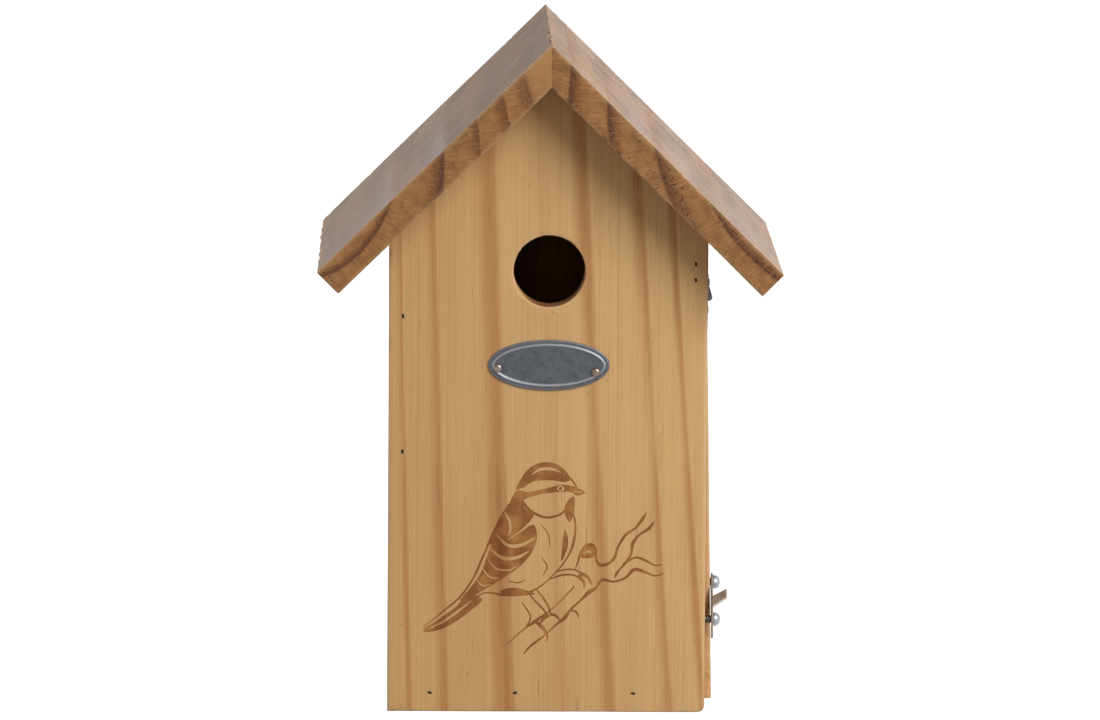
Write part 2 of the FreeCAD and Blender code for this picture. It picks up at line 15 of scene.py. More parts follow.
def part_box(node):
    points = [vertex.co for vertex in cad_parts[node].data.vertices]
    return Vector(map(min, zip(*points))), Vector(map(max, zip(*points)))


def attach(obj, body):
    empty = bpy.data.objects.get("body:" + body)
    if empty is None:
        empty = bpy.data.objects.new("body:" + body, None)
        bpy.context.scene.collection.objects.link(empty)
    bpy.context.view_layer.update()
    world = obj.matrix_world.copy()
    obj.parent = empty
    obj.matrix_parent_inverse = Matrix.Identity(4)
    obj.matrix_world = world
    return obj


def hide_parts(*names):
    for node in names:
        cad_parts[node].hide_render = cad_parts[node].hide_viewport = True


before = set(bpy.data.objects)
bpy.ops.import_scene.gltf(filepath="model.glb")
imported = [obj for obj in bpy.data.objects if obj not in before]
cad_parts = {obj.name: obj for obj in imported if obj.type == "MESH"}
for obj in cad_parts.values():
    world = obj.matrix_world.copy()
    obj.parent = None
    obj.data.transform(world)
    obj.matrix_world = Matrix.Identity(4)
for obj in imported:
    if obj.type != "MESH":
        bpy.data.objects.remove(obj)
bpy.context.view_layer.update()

MM = 0.001
PITCH = math.radians(44.5)
SLOPE = math.tan(PITCH)


def box_of(node):
    """A CAD node's lowest and highest corner, in millimetres."""
    low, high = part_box(node)
    return np.array(low) / MM, np.array(high) / MM


def islands(node):
    """The corners of each separate solid of a CAD node, in millimetres."""
    shape = bmesh.new()
    shape.from_mesh(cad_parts[node].data)
    bmesh.ops.remove_doubles(shape, verts=shape.verts, dist=1e-6)
    left, found = set(shape.verts), []
    while left:
        queue, island = [left.pop()], []
        while queue:
            corner = queue.pop()
            island.append(corner.co)
            for edge in corner.link_edges:
                other = edge.other_vert(corner)
                if other in left:
                    left.remove(other)
                    queue.append(other)
        found.append(np.array(island) / MM)
    shape.free()
    return sorted(found, key=lambda island: tuple(island.min(0).round(3)))


# ------------------------------------------------------------ shader maths

class Wire:
    """One output of a shader node. Python arithmetic on it adds Math nodes."""

    def __init__(self, tree, socket=None):
        self.tree = tree
        self.socket = socket

    def node(self, kind, settings=(), sockets=(), out=0):
        """Adds a node: its settings first, then the values or wires of its sockets. Gives back one output."""
        made = self.tree.nodes.new("ShaderNode" + kind)
        for name, value in dict(settings).items():
            if name == "stops":
                for place, _ in value[2:]:
                    made.color_ramp.elements.new(place)
                for stop, (place, level) in zip(made.color_ramp.elements, value):
                    stop.position = place
                    stop.color = (level, level, level, 1)
            else:
                setattr(made, name, value)
        for name, value in dict(sockets).items():
            if isinstance(value, Wire):
                self.tree.links.new(value.socket, made.inputs[name])
            else:
                made.inputs[name].default_value = value
        return Wire(self.tree, made.outputs[out]) if made.outputs else None

    def math(self, operation, *values):
        return self.node("Math", {"operation": operation}, enumerate(values))

    def vector(self, operation, value):
        return self.node("VectorMath", {"operation": operation}, {0: self, 1: value})

    def parts(self):
        """The three numbers of a vector."""
        split = self.node("SeparateXYZ", (), {0: self}).socket.node
        return [Wire(self.tree, split.outputs[k]) for k in range(3)]

    def share(self, low, high):
        """0 at low, 1 at high, with soft ends."""
        return self.node("MapRange", {"interpolation_type": "SMOOTHSTEP"},
                         {"Value": self, "From Min": low, "From Max": high})

    def span(self, low, high):
        """0 at low, 1 at high, in a straight line."""
        return self.node("MapRange", (), {"Value": self, "From Min": low, "From Max": high})

    def levels(self, *stops):
        """Grey levels at places from 0 to 1."""
        return self.node("ValToRGB", {"stops": stops}, {"Fac": self})

    def __add__(self, other):
        return self.math("ADD", self, other)

    __radd__ = __add__

    def __sub__(self, other):
        return self.math("SUBTRACT", self, other)

    def __rsub__(self, other):
        return self.math("SUBTRACT", other, self)

    def __mul__(self, other):
        return self.math("MULTIPLY", self, other)

    __rmul__ = __mul__

    def __truediv__(self, other):
        return self.math("DIVIDE", self, other)

    def __pow__(self, other):
        return self.math("POWER", self, other)


def rgb(red, green, blue):
    """A colour given as it looks on a screen, 0 to 255, as a shader wants it."""
    levels = [v / 255 for v in (red, green, blue)]
    return tuple(v / 12.92 if v <= 0.04045 else ((v + 0.055) / 1.055) ** 2.4 for v in levels) + (1.0,)


def blend(share, first, second, way="MIX"):
    """The first colour, going to the second as share goes to 1."""
    start = next(v for v in (share, first, second) if isinstance(v, Wire))
    return start.node("Mix", {"data_type": "RGBA", "blend_type": way}, {0: share, 6: first, 7: second}, 2)


def new_finish(name):
    """A new material, a wire to start its nodes from, and its surface shader."""
    made = bpy.data.materials.new(name)
    made.use_nodes = True
    return made, Wire(made.node_tree), made.node_tree.nodes["Principled BSDF"]


def in_mm(start):
    """The place on the object, in millimetres."""
    return start.node("TexCoord", (), (), 3).vector("MULTIPLY", (1 / MM,) * 3)


def layered(colour, *layers):
    """A colour with layers over it, each a share and a colour."""
    for share, over in layers:
        colour = blend(share, colour, over)
    return colour


def connect(shader, **sockets):
    """Fills the surface shader's sockets with values or wires."""
    for name, value in sockets.items():
        socket = shader.inputs[name.replace("_", " ")]
        if isinstance(value, Wire):
            value.tree.links.new(value.socket, socket)
        else:
            socket.default_value = value


def mark(start, name):
    """A mark that the mesh carries, as a number."""
    return start.node("Attribute", {"attribute_name": name}, (), 2)


def grains(where, sizes, seed, detail=2.0, rough=0.5):
    """Noise, about 0 to 1, whose grains have these sizes along x, y and z."""
    scaled = where.vector("MULTIPLY", tuple(1 / size for size in sizes)).vector("ADD", (seed, seed * 1.7, seed * 0.6))
    return where.node("TexNoise", (), {"Vector": scaled, "Scale": 1.0, "Detail": detail, "Roughness": rough})


# -------------------------------------------------------------------- wood

def along(grain, across, length):
    """The sizes of a pattern that follows the grain."""
    return tuple(length if axis == grain else across for axis in "xyz")


def growth(distance, low, high, rings):
    """Late wood, 0 to 1, at its distance from the pith. Each ring has a place, how far it fades on each side
    and a strength."""
    scale = high - low
    stops = [(0.0, 0.0)]
    for place, before, after, strength in sorted(rings):
        stops += [((place - low + shift) / scale, level) for shift, level in (
            (-before, 0.0), (-0.35 * before, 0.62 * strength), (-0.1 * before, strength), (after, 0.0))]
    return distance.span(low, high).levels(*stops)


def rounds(distance, width):
    """Late wood of even rings: it comes slowly and ends at once."""
    turn = distance / width
    turn = turn.math("FRACT", turn)
    return turn.levels((0.0, 0.0), (0.42, 0.04), (0.72, 0.42), (0.90, 0.95), (0.965, 1.0), (1.0, 0.0))


def far(first, second):
    """How far a place is from a line, from its two distances across it."""
    return (first * first + second * second) ** 0.5


# the darkest brown here, for the brad pockets, is painted shade
SHADES = {name: rgb(*levels) for name, levels in {
    "dark_thread": (148, 104, 62), "pale_thread": (216, 178, 126), "canal": (104, 76, 54), "fleck": (112, 80, 54),
    "cut_light": (152, 105, 60), "cut_dark": (128, 85, 46), "cut_band": (116, 70, 32), "cut_band_core": (78, 40, 18),
    "cut_sapwood": (176, 130, 80), "ray_light": (184, 140, 94), "ray_dark": (98, 60, 30), "saw_line": (106, 68, 36),
    "resin_dot": (44, 24, 16), "resin_pool": (56, 28, 16), "stain": (104, 78, 62), "rubbed": (206, 172, 130),
    "painted_pocket_shade": (52, 36, 26)}.items()}
LIGHT_BURN, DEEP_BURN = (0.70, 0.51, 0.36, 1), (0.44, 0.27, 0.16, 1)
LEFT_ROOF_PAINTED_SHADE = 0.84                          # the left roof board's top is painted darker than the right one's: painted shade for the side turned from the key light


def along_slope(x, z, hand):
    """How far down a roof board's slope a place is, and how deep under its top."""
    down = z - ROOF_TOP
    return (hand * math.cos(PITCH) * x - math.sin(PITCH) * down,
            -hand * math.sin(PITCH) * x - math.cos(PITCH) * down)


def middle_shade(early, late):
    """The reddish shade halfway into the late wood."""
    return rgb(*((first * second) ** 0.5 * tone for first, second, tone in zip(early, late, (1.0, 0.985, 0.97))))


def end_grain(start, where, grain, seed, band, spoke, out, fibre, fine, wander):
    """Cut across, the wood soaks up more: it is darker and redder, with resin dots along the late wood, fine
    rays and saw marks."""
    dots = grains(where, along(grain, 0.8, 4), seed + 2.6, 1.0, 0.4).share(0.61, 0.68)
    dotted = grains(where, along(grain, 6, 40), seed + 4.7, 1.0).share(0.44, 0.64) * 0.8 + band.share(0.02, 0.3)
    pools = grains(where, along(grain, 2.2, 9), seed + 7.1, 1.0, 0.4).share(0.62, 0.70) * band.share(0.35, 0.8)
    rays = start.node("TexNoise", {}, {"Vector": start.node("CombineXYZ", (), {
        0: spoke * 3.2, 1: out * 0.11, 2: seed * 1.0}), "Scale": 1.0, "Detail": 2.0})
    soaked = 0.75 + 0.4 * fibre
    return layered(
        blend(wander.share(0.3, 0.7), SHADES["cut_light"], SHADES["cut_dark"]),
        (band.share(0.0, 0.5) * soaked, SHADES["cut_band"]),
        (band.share(0.3, 0.95) * soaked, SHADES["cut_band_core"]),
        (rays.share(0.54, 0.70) * 0.40, SHADES["ray_light"]),
        (rays.share(0.46, 0.30) * 0.55, SHADES["ray_dark"]),
        (fine.share(0.50, 0.80) * 0.35, SHADES["saw_line"]),
        (dots * dotted.math("MINIMUM", dotted, 1.0) * 0.9, SHADES["resin_dot"]),
        (pools * 0.8, SHADES["resin_pool"]))


def weathered(colour, where, flat, slope, y, up, hand, grain, seed, band, bleach):
    """The greyed film on a roof board's top, with its sawn lines, clouds, bleached zones and scratches."""
    # on the left board these film colours are scaled darker: painted shade for the side turned from the key light
    def aged_with_left_painted_shade(*levels):
        return rgb(*((LEFT_ROOF_PAINTED_SHADE if hand < 0 else 1.0) * level for level in levels))

    sawn = grains(flat, (36, 0.8, 3), seed + 8.8, 4.0, 0.75)
    clouds = grains(flat, (20, 8, 6), seed + 6.3, 3.0, 0.62)
    zones = grains(flat, (13, 90, 9), seed + 1.9, 2.0, 0.6)
    veil = grains(flat, (26, 3.5, 6), seed + 3.9, 3.0, 0.65).share(0.50, 0.66)
    scratches = grains(flat, (20, 0.4, 3), seed + 5.2, 1.0).share(0.64, 0.74)
    stains = grains(where, along(grain, 0.9, 5), seed + 6.9, 1.0).share(0.70, 0.78)
    bleached = slope.span(0, 128).levels(*bleach) * (0.25 + 1.3 * clouds) * (0.35 + 0.65 * y.share(30, -60))
    grey = layered(
        blend(sawn.share(0.40, 0.60), aged_with_left_painted_shade(118, 96, 82), aged_with_left_painted_shade(186, 161, 142)),
        (zones.share(0.40, 0.60) * 0.6, aged_with_left_painted_shade(188, 152, 124)))
    colour = blend(up * (0.66 + 0.5 * clouds) * (1 - 0.45 * band), colour, grey)
    if hand < 0:
        colour = blend(up * slope.share(80, 5) * 0.5, colour, aged_with_left_painted_shade(128, 106, 92))
    return layered(
        colour,
        (up * bleached, aged_with_left_painted_shade(198, 183, 180)),
        (up * veil * 0.4 * zones.share(0.3, 0.6), aged_with_left_painted_shade(196, 180, 178)),
        (up * scratches * 0.6, aged_with_left_painted_shade(222, 212, 204)),
        (up * stains * 0.45, SHADES["stain"]))


def pine(name, grain, late_wood, seed, early=(191, 150, 99), late=(162, 111, 64), tint=(186, 138, 90),
         lighter=None, hand=0, bleach=(), engraved=False):
    """Bare pine. late_wood turns the place and a slow wander across the grain into late wood, 0 to 1, and the
    place round and out from the pith. lighter is a paler colour that takes over to the right. A roof board,
    whose top has greyed, gives its hand, -1 or 1."""
    finish, start, shader = new_finish(name)
    where = in_mm(start)
    axis = "xyz".index(grain)
    x, y, z = where.parts()
    slow = grains(where, along(grain, 26, 240), seed)
    wander = grains(where, along(grain, 4.5, 70), seed + 3.1)
    band, spoke, out = late_wood(x, y, z, (slow - 0.5) * 9 + (wander - 0.5) * 2.6)
    fibre = grains(where, along(grain, 0.85, 90), seed + 7.7, 3.0, 0.65)
    fine = grains(where, along(grain, 0.3, 18), seed + 1.3, 2.0, 0.6)
    patches = grains(where, along(grain, 15, 80), seed + 5.9)
    threads = grains(where, along(grain, 0.5, 420), seed + 2.2, 1.0, 0.5)
    canals = grains(where, along(grain, 0.45, 16), seed + 9.4, 1.0, 0.4).share(0.69, 0.77)
    canals = canals * grains(where, along(grain, 7, 60), seed + 4.2, 1.0).share(0.48, 0.60)
    flecks = grains(where, (1.1, 1.1, 1.4), seed + 6.6, 1.0, 0.4).share(0.77, 0.83)
    facing = start.node("TexCoord", (), (), 1).parts()
    end = facing[axis].math("ABSOLUTE", facing[axis]).share(0.55, 0.9)

    base = rgb(*early)
    if lighter:
        base = blend((x + 0.25 * z).share(-30, 75), base, rgb(*lighter))
    streaked = band * (0.35 + 0.75 * fibre + 0.6 * wander)
    colour = layered(
        base,
        (patches.share(0.42, 0.72) * 0.35, rgb(*tint)),
        (streaked.share(0.0, 0.5), middle_shade(early, late)),
        (streaked.share(0.5, 1.05), rgb(*late)),
        (threads.share(0.60, 0.74) * 0.24, SHADES["dark_thread"]),
        (threads.share(0.40, 0.27) * 0.20, SHADES["pale_thread"]))
    tone = 0.71 + 0.34 * fibre + 0.24 * fine
    colour = blend(1.0, colour, tone.node("CombineColor", (), {0: tone, 1: tone, 2: tone}), "MULTIPLY")
    colour = layered(colour, (canals * 0.42, SHADES["canal"]), (flecks * 0.6, SHADES["fleck"]))

    cut = end_grain(start, where, grain, seed, band, spoke, out, fibre, fine, wander)
    rough = 0.60 + 0.16 * fine - 0.06 * band
    if hand:
        slope, depth = along_slope(x, z, hand)
        if hand < 0:
            cut = blend(slope.share(26, 3) * (0.4 + 0.6 * fibre), cut, SHADES["cut_sapwood"])
    colour = blend(end * 0.96, colour, cut)
    if hand:
        up = facing[2].share(0.35, 0.62)
        flat = start.node("CombineXYZ", (), {0: slope, 1: y, 2: depth})
        colour = weathered(colour, where, flat, slope, y, up, hand, grain, seed, band, bleach)
        rough = rough + up * 0.1
    if engraved:
        burn = mark(start, "burn")
        glow = blend(grains(where, (8, 8, 8), 31.0).share(0.40, 0.64), DEEP_BURN, LIGHT_BURN)
        colour = blend(burn, colour, blend(1.0, colour, glow, "MULTIPLY"))
        rough = rough + burn * 0.1
    colour = layered(
        colour,
        (mark(start, "wear") * (0.10 + 0.65 * fibre), SHADES["rubbed"]),
        # the brad pockets are painted dark: painted shade in each pocket
        (mark(start, "painted_pocket_shade") * 0.9, SHADES["painted_pocket_shade"]))
    height = 0.4 * band + 0.6 * fibre + 0.4 * fine - 0.9 * canals
    bump = start.node("Bump", (), {"Strength": 0.45, "Distance": 0.15 * MM, "Height": height})
    connect(shader, Base_Color=colour, Roughness=rough, Normal=bump, Specular_IOR_Level=0.3)
    return finish


def front_growth(x, y, z, wander):
    """Straight bands of the front board that lean, more so towards the right."""
    across = x + (0.051 + 0.00045 * x) * (z - 20) + 0.5 * (y + 60) + 0.28 * wander
    band = growth(across, -72, 84, (
        (-54.0, 2.4, 1.0, 0.72), (-39.6, 5.0, 1.3, 0.76), (-15.0, 7.8, 3.6, 1.0), (6.0, 6.0, 5.0, 0.25),
        (24.6, 6.8, 2.6, 0.52), (47.6, 5.6, 1.4, 0.45), (60.4, 3.4, 1.2, 0.6)))
    return band * (0.66 + 0.34 * z.share(106, 84) + 0.7 * z.share(125, 185) * x.share(-6, 4)), y, across


ROOF_TOP = box_of("roof_board_right")[1][2]


def roof_growth(hand, pith_along, pith_over, rings):
    """Rings of a roof board, whose pith ran above it near the eave."""
    def late_wood(x, _, z, wander):
        slope, depth = along_slope(x, z, hand)
        slope, depth = slope - pith_along, depth + pith_over
        out = far(slope, depth)
        return growth(out + 0.3 * wander, 30, 150, rings), slope.math("ARCTAN2", depth, slope) * 75, out
    return late_wood


def even_growth(first, pith_first, second, pith_second, width):
    """Even rings round a pith that runs along the board."""
    def late_wood(x, y, z, wander):
        places = {"x": x, "y": y, "z": z}
        near, over = places[first] - pith_first, places[second] - pith_second
        out = far(near, over)
        return rounds(out + wander, width), near.math("ARCTAN2", over, near) * 30, out
    return late_wood


# ------------------------------------------------------------------ metals

def sheet_metal(name, base, worn_and_sheen, seed, dull_and_painted_shade=0.42, metallic=0.9, tarnish_and_painted_shade=(70, 62, 56), tarnish_share=0.4, size=3.0):
    """Zinc or steel: base in the open, paler where rubbed and on painted highlights, tarnished in clouds that are
    size across.
    """
    finish, start, shader = new_finish(name)
    where = in_mm(start)
    clouds = grains(where, (size,) * 3, seed, 3.0, 0.6)
    specks = grains(where, (0.35,) * 3, seed + 2.0, 1.0)
    drawn = grains(where, (0.3, 3.0, 3.0), seed + 4.0, 2.0)
    scored = grains(where, (0.2, 4, 3), seed + 6.0, 2.0, 0.5).share(0.60, 0.80)
    scored = scored + grains(where, (1.6, 4, 0.16), seed + 8.0, 2.0, 0.5).share(0.60, 0.80)
    worn_and_sheen, tarnish_and_painted_shade = rgb(*worn_and_sheen), rgb(*tarnish_and_painted_shade)
    colour = layered(
        rgb(*base),
        (clouds.share(0.40, 0.72) * tarnish_share, tarnish_and_painted_shade),
        (specks.share(0.62, 0.72) * 0.35, tarnish_and_painted_shade),
        (scored * 0.14, worn_and_sheen),
        # the rub mark is wear, and on the plate's bead it is also painted highlight
        (mark(start, "wear") * (0.55 + 0.6 * clouds), worn_and_sheen),
        # this mark paints the screws' shanks dark: painted shade in the gap each stands in
        (mark(start, "dull_and_painted_shade") * (0.5 + 0.6 * clouds), tarnish_and_painted_shade))
    height = clouds * 0.6 + specks * 0.25 + drawn * 0.3
    bump = start.node("Bump", (), {"Strength": 0.3, "Distance": 0.05 * MM, "Height": height})
    connect(shader, Base_Color=colour, Roughness=dull_and_painted_shade + 0.2 * (clouds - 0.5) + 0.08 * specks, Metallic=metallic,
            Normal=bump)
    return finish


# ---------------------------------------------------------- meshes of boards

QUARTER = [math.radians(angle) for angle in (0, 30, 60, 90)]
MARKS = ("wear", "burn", "painted_pocket_shade")
WHOLE_SIDE = 99                                # a step longer than any side of a hole's rim


def edge_walk(corners, step):
    """Points about a step apart along a closed outline, with the way into the piece and the side of each."""
    corners = np.asarray(corners, float)
    sides = np.roll(corners, -1, 0) - corners
    lengths = np.linalg.norm(sides, axis=1)
    normals = np.column_stack([-sides[:, 1], sides[:, 0]]) / lengths[:, None]
    points, into, side = [], [], []
    for k, start in enumerate(corners):
        count = max(1, round(lengths[k] / step))
        points.append(start + np.arange(count)[:, None] / count * sides[k])
        inward = np.repeat(normals[k:k + 1], count, 0)
        inward[0] = (normals[k - 1] + normals[k]) / (1 + normals[k - 1] @ normals[k])
        into.append(inward)
        side += [k] * count
    return np.vstack(points), np.vstack(into), np.array(side)


def ring(u, v, radius, count):
    """A circle as a closed outline that runs round a hole."""
    turn = -2 * np.pi * np.arange(count) / count
    return np.column_stack([u + radius * np.cos(turn), v + radius * np.sin(turn)])


def inside(outline, points):
    """Which points lie inside a closed outline."""
    x, z = points[:, :1], points[:, 1:2]
    ax, az = outline[:, 0], outline[:, 1]
    bx, bz = np.roll(ax, -1), np.roll(az, -1)
    crosses = (az > z) != (bz > z)
    rise = np.where(bz == az, 1.0, bz - az)
    return (crosses & (x < ax + (z - az) / rise * (bx - ax))).sum(1) % 2 == 1


def keep_clear(points, others, gap):
    """The points that are further than gap from all the others."""
    tree = kdtree.KDTree(len(others))
    for k, other in enumerate(others):
        tree.insert((other[0], other[1], 0), k)
    tree.balance()
    return points[[tree.find((p[0], p[1], 0))[2] > gap for p in points]]


class Slab:
    """A flat piece with rounded arrises. u and v lie on its front face and w goes down into it.

    ease is the radius of the front arris on each side. A cut is its outlines, what tells whether a place is in it,
    its depth and its mark.
    """

    def __init__(self, corners, thick, ease=0.5, holes=(), cuts=(), spacing=1.6, front_step=(1.6, 3.2),
                 back_step=(5.0, 8.0), back_ease=0.4, layers=3, hole_ease=0.5, seed=1):
        self.points, self.faces = [], []
        self.marks = {name: [] for name in MARKS}
        self.random = np.random.default_rng(seed)
        eases = ease if isinstance(ease, (list, tuple)) else [ease] * len(corners)
        walks = [(edge_walk(corners, spacing), eases)]
        for u, v, radius in holes:
            rim = ring(u, v, radius, max(20, int(radius * 7)))
            walks.append((edge_walk(rim, WHOLE_SIDE), [hole_ease] * len(rim)))
        rims = {0: [], 1: []}
        for (points, into, side), ease_of in walks:
            self.wall(points, into, np.array([ease_of[k] for k in side]), thick, back_ease, layers, rims)
        outline = np.asarray(corners, float)
        for end, depth, step, face_cuts in ((0, 0.0, front_step, cuts), (1, thick, back_step, ())):
            self.cap(rims[end], outline, holes, depth, step, face_cuts)

    def add(self, points, **marks):
        """Adds points with their marks and gives back the number of the first."""
        first = len(self.points)
        self.points += [tuple(p) for p in points]
        for name in MARKS:
            self.marks[name] += [marks.get(name, 0.0)] * len(points)
        return first

    def wall(self, points, into, ease, thick, back_ease, layers, rims):
        """The arrises and the edge between them, along one rim."""
        ease = ease[:, None]
        rows = []
        for turn in QUARTER:
            rows.append((points + into * ease * (1 - math.sin(turn)), ease * (1 - math.cos(turn)),
                         0.35 + 0.65 * math.sin(2 * turn)))
        for layer in range(1, layers):
            rows.append((points, ease + (thick - back_ease - ease) * layer / layers, 0.0))
        for turn in reversed(QUARTER):
            rows.append((points + into * back_ease * (1 - math.sin(turn)),
                         thick - back_ease * (1 - math.cos(turn)), 0.35 + 0.65 * math.sin(2 * turn)))
        count = len(points)
        firsts = [self.add(np.hstack([flat, depth * np.ones((count, 1))]), wear=wear) for flat, depth, wear in rows]
        for first in firsts[:-1]:
            for k in range(count):
                a, b = first + k, first + (k + 1) % count
                self.faces.append((a, b, b + count, a + count))
        rims[0].append(range(firsts[0], firsts[0] + count))
        rims[1].append(range(firsts[-1], firsts[-1] + count))

    def cap(self, rims, outline, holes, depth, step, cuts):
        """Fills a face between its rims, with the outlines of its cuts as edges."""
        numbers = [k for rim in rims for k in rim]
        flat = np.array([self.points[k][:2] for k in numbers])
        edges, first = [], 0
        for rim in rims:
            count = len(rim)
            edges += [(first + k, first + (k + 1) % count) for k in range(count)]
            first += count
        drawn = [line for lines, _, _, _ in cuts for line in lines]
        for line in drawn:
            count = len(line)
            edges += [(first + k, first + (k + 1) % count) for k in range(count)]
            first += count
        fixed = np.vstack([flat, *drawn])
        low, high = outline.min(0), outline.max(0)
        u, v = (np.arange(low[k] + step[k] / 2, high[k], step[k]) for k in (0, 1))
        lattice = np.array(np.meshgrid(u, v)).reshape(2, -1).T
        lattice += self.random.uniform(-0.22, 0.22, lattice.shape) * step
        lattice = lattice[inside(outline, lattice)] if len(lattice) else lattice
        for hole_u, hole_v, radius in holes:
            lattice = lattice[np.hypot(lattice[:, 0] - hole_u, lattice[:, 1] - hole_v) > radius + 0.5]
        if len(lattice):
            lattice = keep_clear(lattice, fixed, 0.32 * step[0])
        full = np.vstack([fixed, lattice])
        found, _, triangles, origins, _, _ = geometry.delaunay_2d_cdt([Vector(p) for p in full], edges, [], 1, 1e-5)
        place = np.array([tuple(p) for p in found])
        known = {k: numbers[first] for k, origin in enumerate(origins) for first in origin if first < len(numbers)}
        loose = [k for k in range(len(found)) if k not in known]
        start = self.add([(*place[k], depth) for k in loose])
        known.update({k: start + order for order, k in enumerate(loose)})
        triangles = np.array([t for t in triangles if len(t) == 3])
        middle = place[triangles].mean(1)
        keep = np.ones(len(triangles), bool)
        for (hole_u, hole_v, _), rim in zip(holes, rims[1:]):
            edge = math.hypot(self.points[rim[0]][0] - hole_u, self.points[rim[0]][1] - hole_v)
            keep &= np.hypot(middle[:, 0] - hole_u, middle[:, 1] - hole_v) > edge
        triangles, middle = triangles[keep], middle[keep]
        lowered = np.zeros(len(triangles), bool)
        for _, chooser, fall, name in cuts:
            chosen = chooser(middle)
            lowered |= chosen
            self.sink([[known[k] for k in t] for t in triangles[chosen]], fall, name)
        self.faces += [tuple(known[k] for k in t) for t in triangles[~lowered]]

    def sink(self, triangles, fall, name):
        """Lowers some triangles of a face and walls the step round them."""
        ways = {(t[k], t[(k + 1) % 3]) for t in triangles for k in range(3)}
        used = sorted({k for t in triangles for k in t})
        start = self.add([(*self.points[k][:2], self.points[k][2] + fall) for k in used], **{name: 1.0})
        lower = {k: start + order for order, k in enumerate(used)}
        self.faces += [tuple(lower[k] for k in t) for t in triangles]
        self.faces += [(a, b, lower[b], lower[a]) for a, b in ways if (b, a) not in ways]

    def placed(self, where):
        """The slab in its place: where turns (u, v, w) into (x, y, z)."""
        points = np.array(self.points)
        return np.column_stack(where(points[:, 0], points[:, 1], points[:, 2])), self.faces, self.marks


def only_wear(wear):
    """The marks of a piece that is neither burnt nor painted dark as shade in brad pockets."""
    return {name: wear if name == "wear" else [0.0] * len(wear) for name in MARKS}


def together(*shapes):
    """Several placed shapes as one."""
    points, faces, marks = [], [], {name: [] for name in MARKS}
    for own_points, own_faces, own_marks in shapes:
        faces += [tuple(len(points) + k for k in face) for face in own_faces]
        points += [tuple(p) for p in own_points]
        for name in marks:
            marks[name] += list(own_marks[name])
    return points, faces, marks


def turned(profile, where):
    """A solid of revolution from (radius, w, wear) rows; where places (u, v, w)."""
    points, faces, wear, rows = [], [], [], []
    count = 28
    turn = 2 * np.pi * np.arange(count) / count
    for radius, w, rubbed in profile:
        rows.append(range(len(points), len(points) + (count if radius else 1)))
        points += [(radius * math.cos(a), radius * math.sin(a), w) for a in (turn if radius else turn[:1])]
        wear += [rubbed] * len(rows[-1])
    for here, after in zip(rows, rows[1:]):
        for k in range(count):
            a, b = here[k % len(here)], here[(k + 1) % len(here)]
            c, d = after[(k + 1) % len(after)], after[k % len(after)]
            faces.append(tuple(dict.fromkeys((a, b, c, d))))
    u, v, w = np.array(points).T
    return np.column_stack(where(u, v, w)), faces, only_wear(wear)


def shown(name, data):
    """A new object of the scene, unmoved."""
    made = bpy.data.objects.new(name, data)
    bpy.context.scene.collection.objects.link(made)
    return made


def new_piece(name, shape, body, nodes, finish, crease=40):
    """Makes a piece from a placed shape and sets it on its body in place of its CAD nodes."""
    points, faces, marks = shape
    mesh = bpy.data.meshes.new(name)
    mesh.from_pydata([tuple(p) for p in np.asarray(points) * MM], [], faces)
    for label, values in marks.items():
        mesh.attributes.new(label, "FLOAT", "POINT").data.foreach_set("value", np.asarray(values, np.float32))
    faced = bmesh.new()
    faced.from_mesh(mesh)
    bmesh.ops.recalc_face_normals(faced, faces=faced.faces)
    faced.to_mesh(mesh)
    faced.free()
    mesh.shade_smooth()
    mesh.set_sharp_from_angle(angle=math.radians(crease))
    mesh.materials.append(finish)
    piece = shown(name, mesh)
    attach(piece, body)
    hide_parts(*nodes)
    return piece


def roughen(piece, grain, seed, chip=0.9, nick=(2.2, 7)):
    """Gives a board its slight waves, raised fibres and chipped arrises. nick is a chip's size across and along
    the grain."""
    ripple, fuzz, wave = 0.10, 0.035, 28
    mesh = piece.data
    count = len(mesh.vertices)
    places, normals, wear = np.zeros(count * 3), np.zeros(count * 3), np.zeros(count)
    mesh.vertices.foreach_get("co", places)
    mesh.vertex_normals.foreach_get("vector", normals)
    mesh.attributes["wear"].data.foreach_get("value", wear)
    places, normals = places.reshape(-1, 3) / MM, normals.reshape(-1, 3)
    fibre, nick = np.array(along(grain, 1.3, 22)), np.array(along(grain, *nick))
    for k in range(count):
        place = places[k]
        lift = ripple * noise.noise(Vector(place / wave + seed)) + fuzz * noise.noise(Vector(place / fibre + seed))
        if wear[k] > 0:
            lift -= chip * wear[k] * max(0.0, noise.noise(Vector(place / nick + seed * 2)) - 0.22)
        places[k] = place + normals[k] * lift
    mesh.vertices.foreach_set("co", (places * MM).ravel())
    mesh.update()


def board(name, slab, where, body, node, slot, finish, grain, seed, **rough):
    """Sets a slab in its place as one of the boards."""
    roughen(new_piece(name, slab.placed(where), body, [node], finish), grain, seed, **rough)


# ------------------------------------------------------------- the engraving

def curve_through(points, closed=False):
    """A smooth line through the points; a third number, the pen's width, goes with it."""
    points, step = np.asarray(points, float), 0.5
    if closed:
        padded = np.vstack([points[-1:], points, points[:2]])
    else:
        padded = np.vstack([2 * points[:1] - points[1:2], points, 2 * points[-1:] - points[-2:-1]])
    line = []
    for a, b, c, d in zip(padded, padded[1:], padded[2:], padded[3:]):
        count = max(2, int(np.linalg.norm((c - b)[:2]) / step))
        t = np.arange(count)[:, None] / count
        line.append(0.5 * (2 * b + (c - a) * t + (2 * a - 5 * b + 4 * c - d) * t ** 2
                           + (3 * b - a - 3 * c + d) * t ** 3))
    if not closed:
        line.append(points[-1:])
    return np.vstack(line)


def patch(points):
    """A burnt area with a smooth outline."""
    return curve_through(points, closed=True)


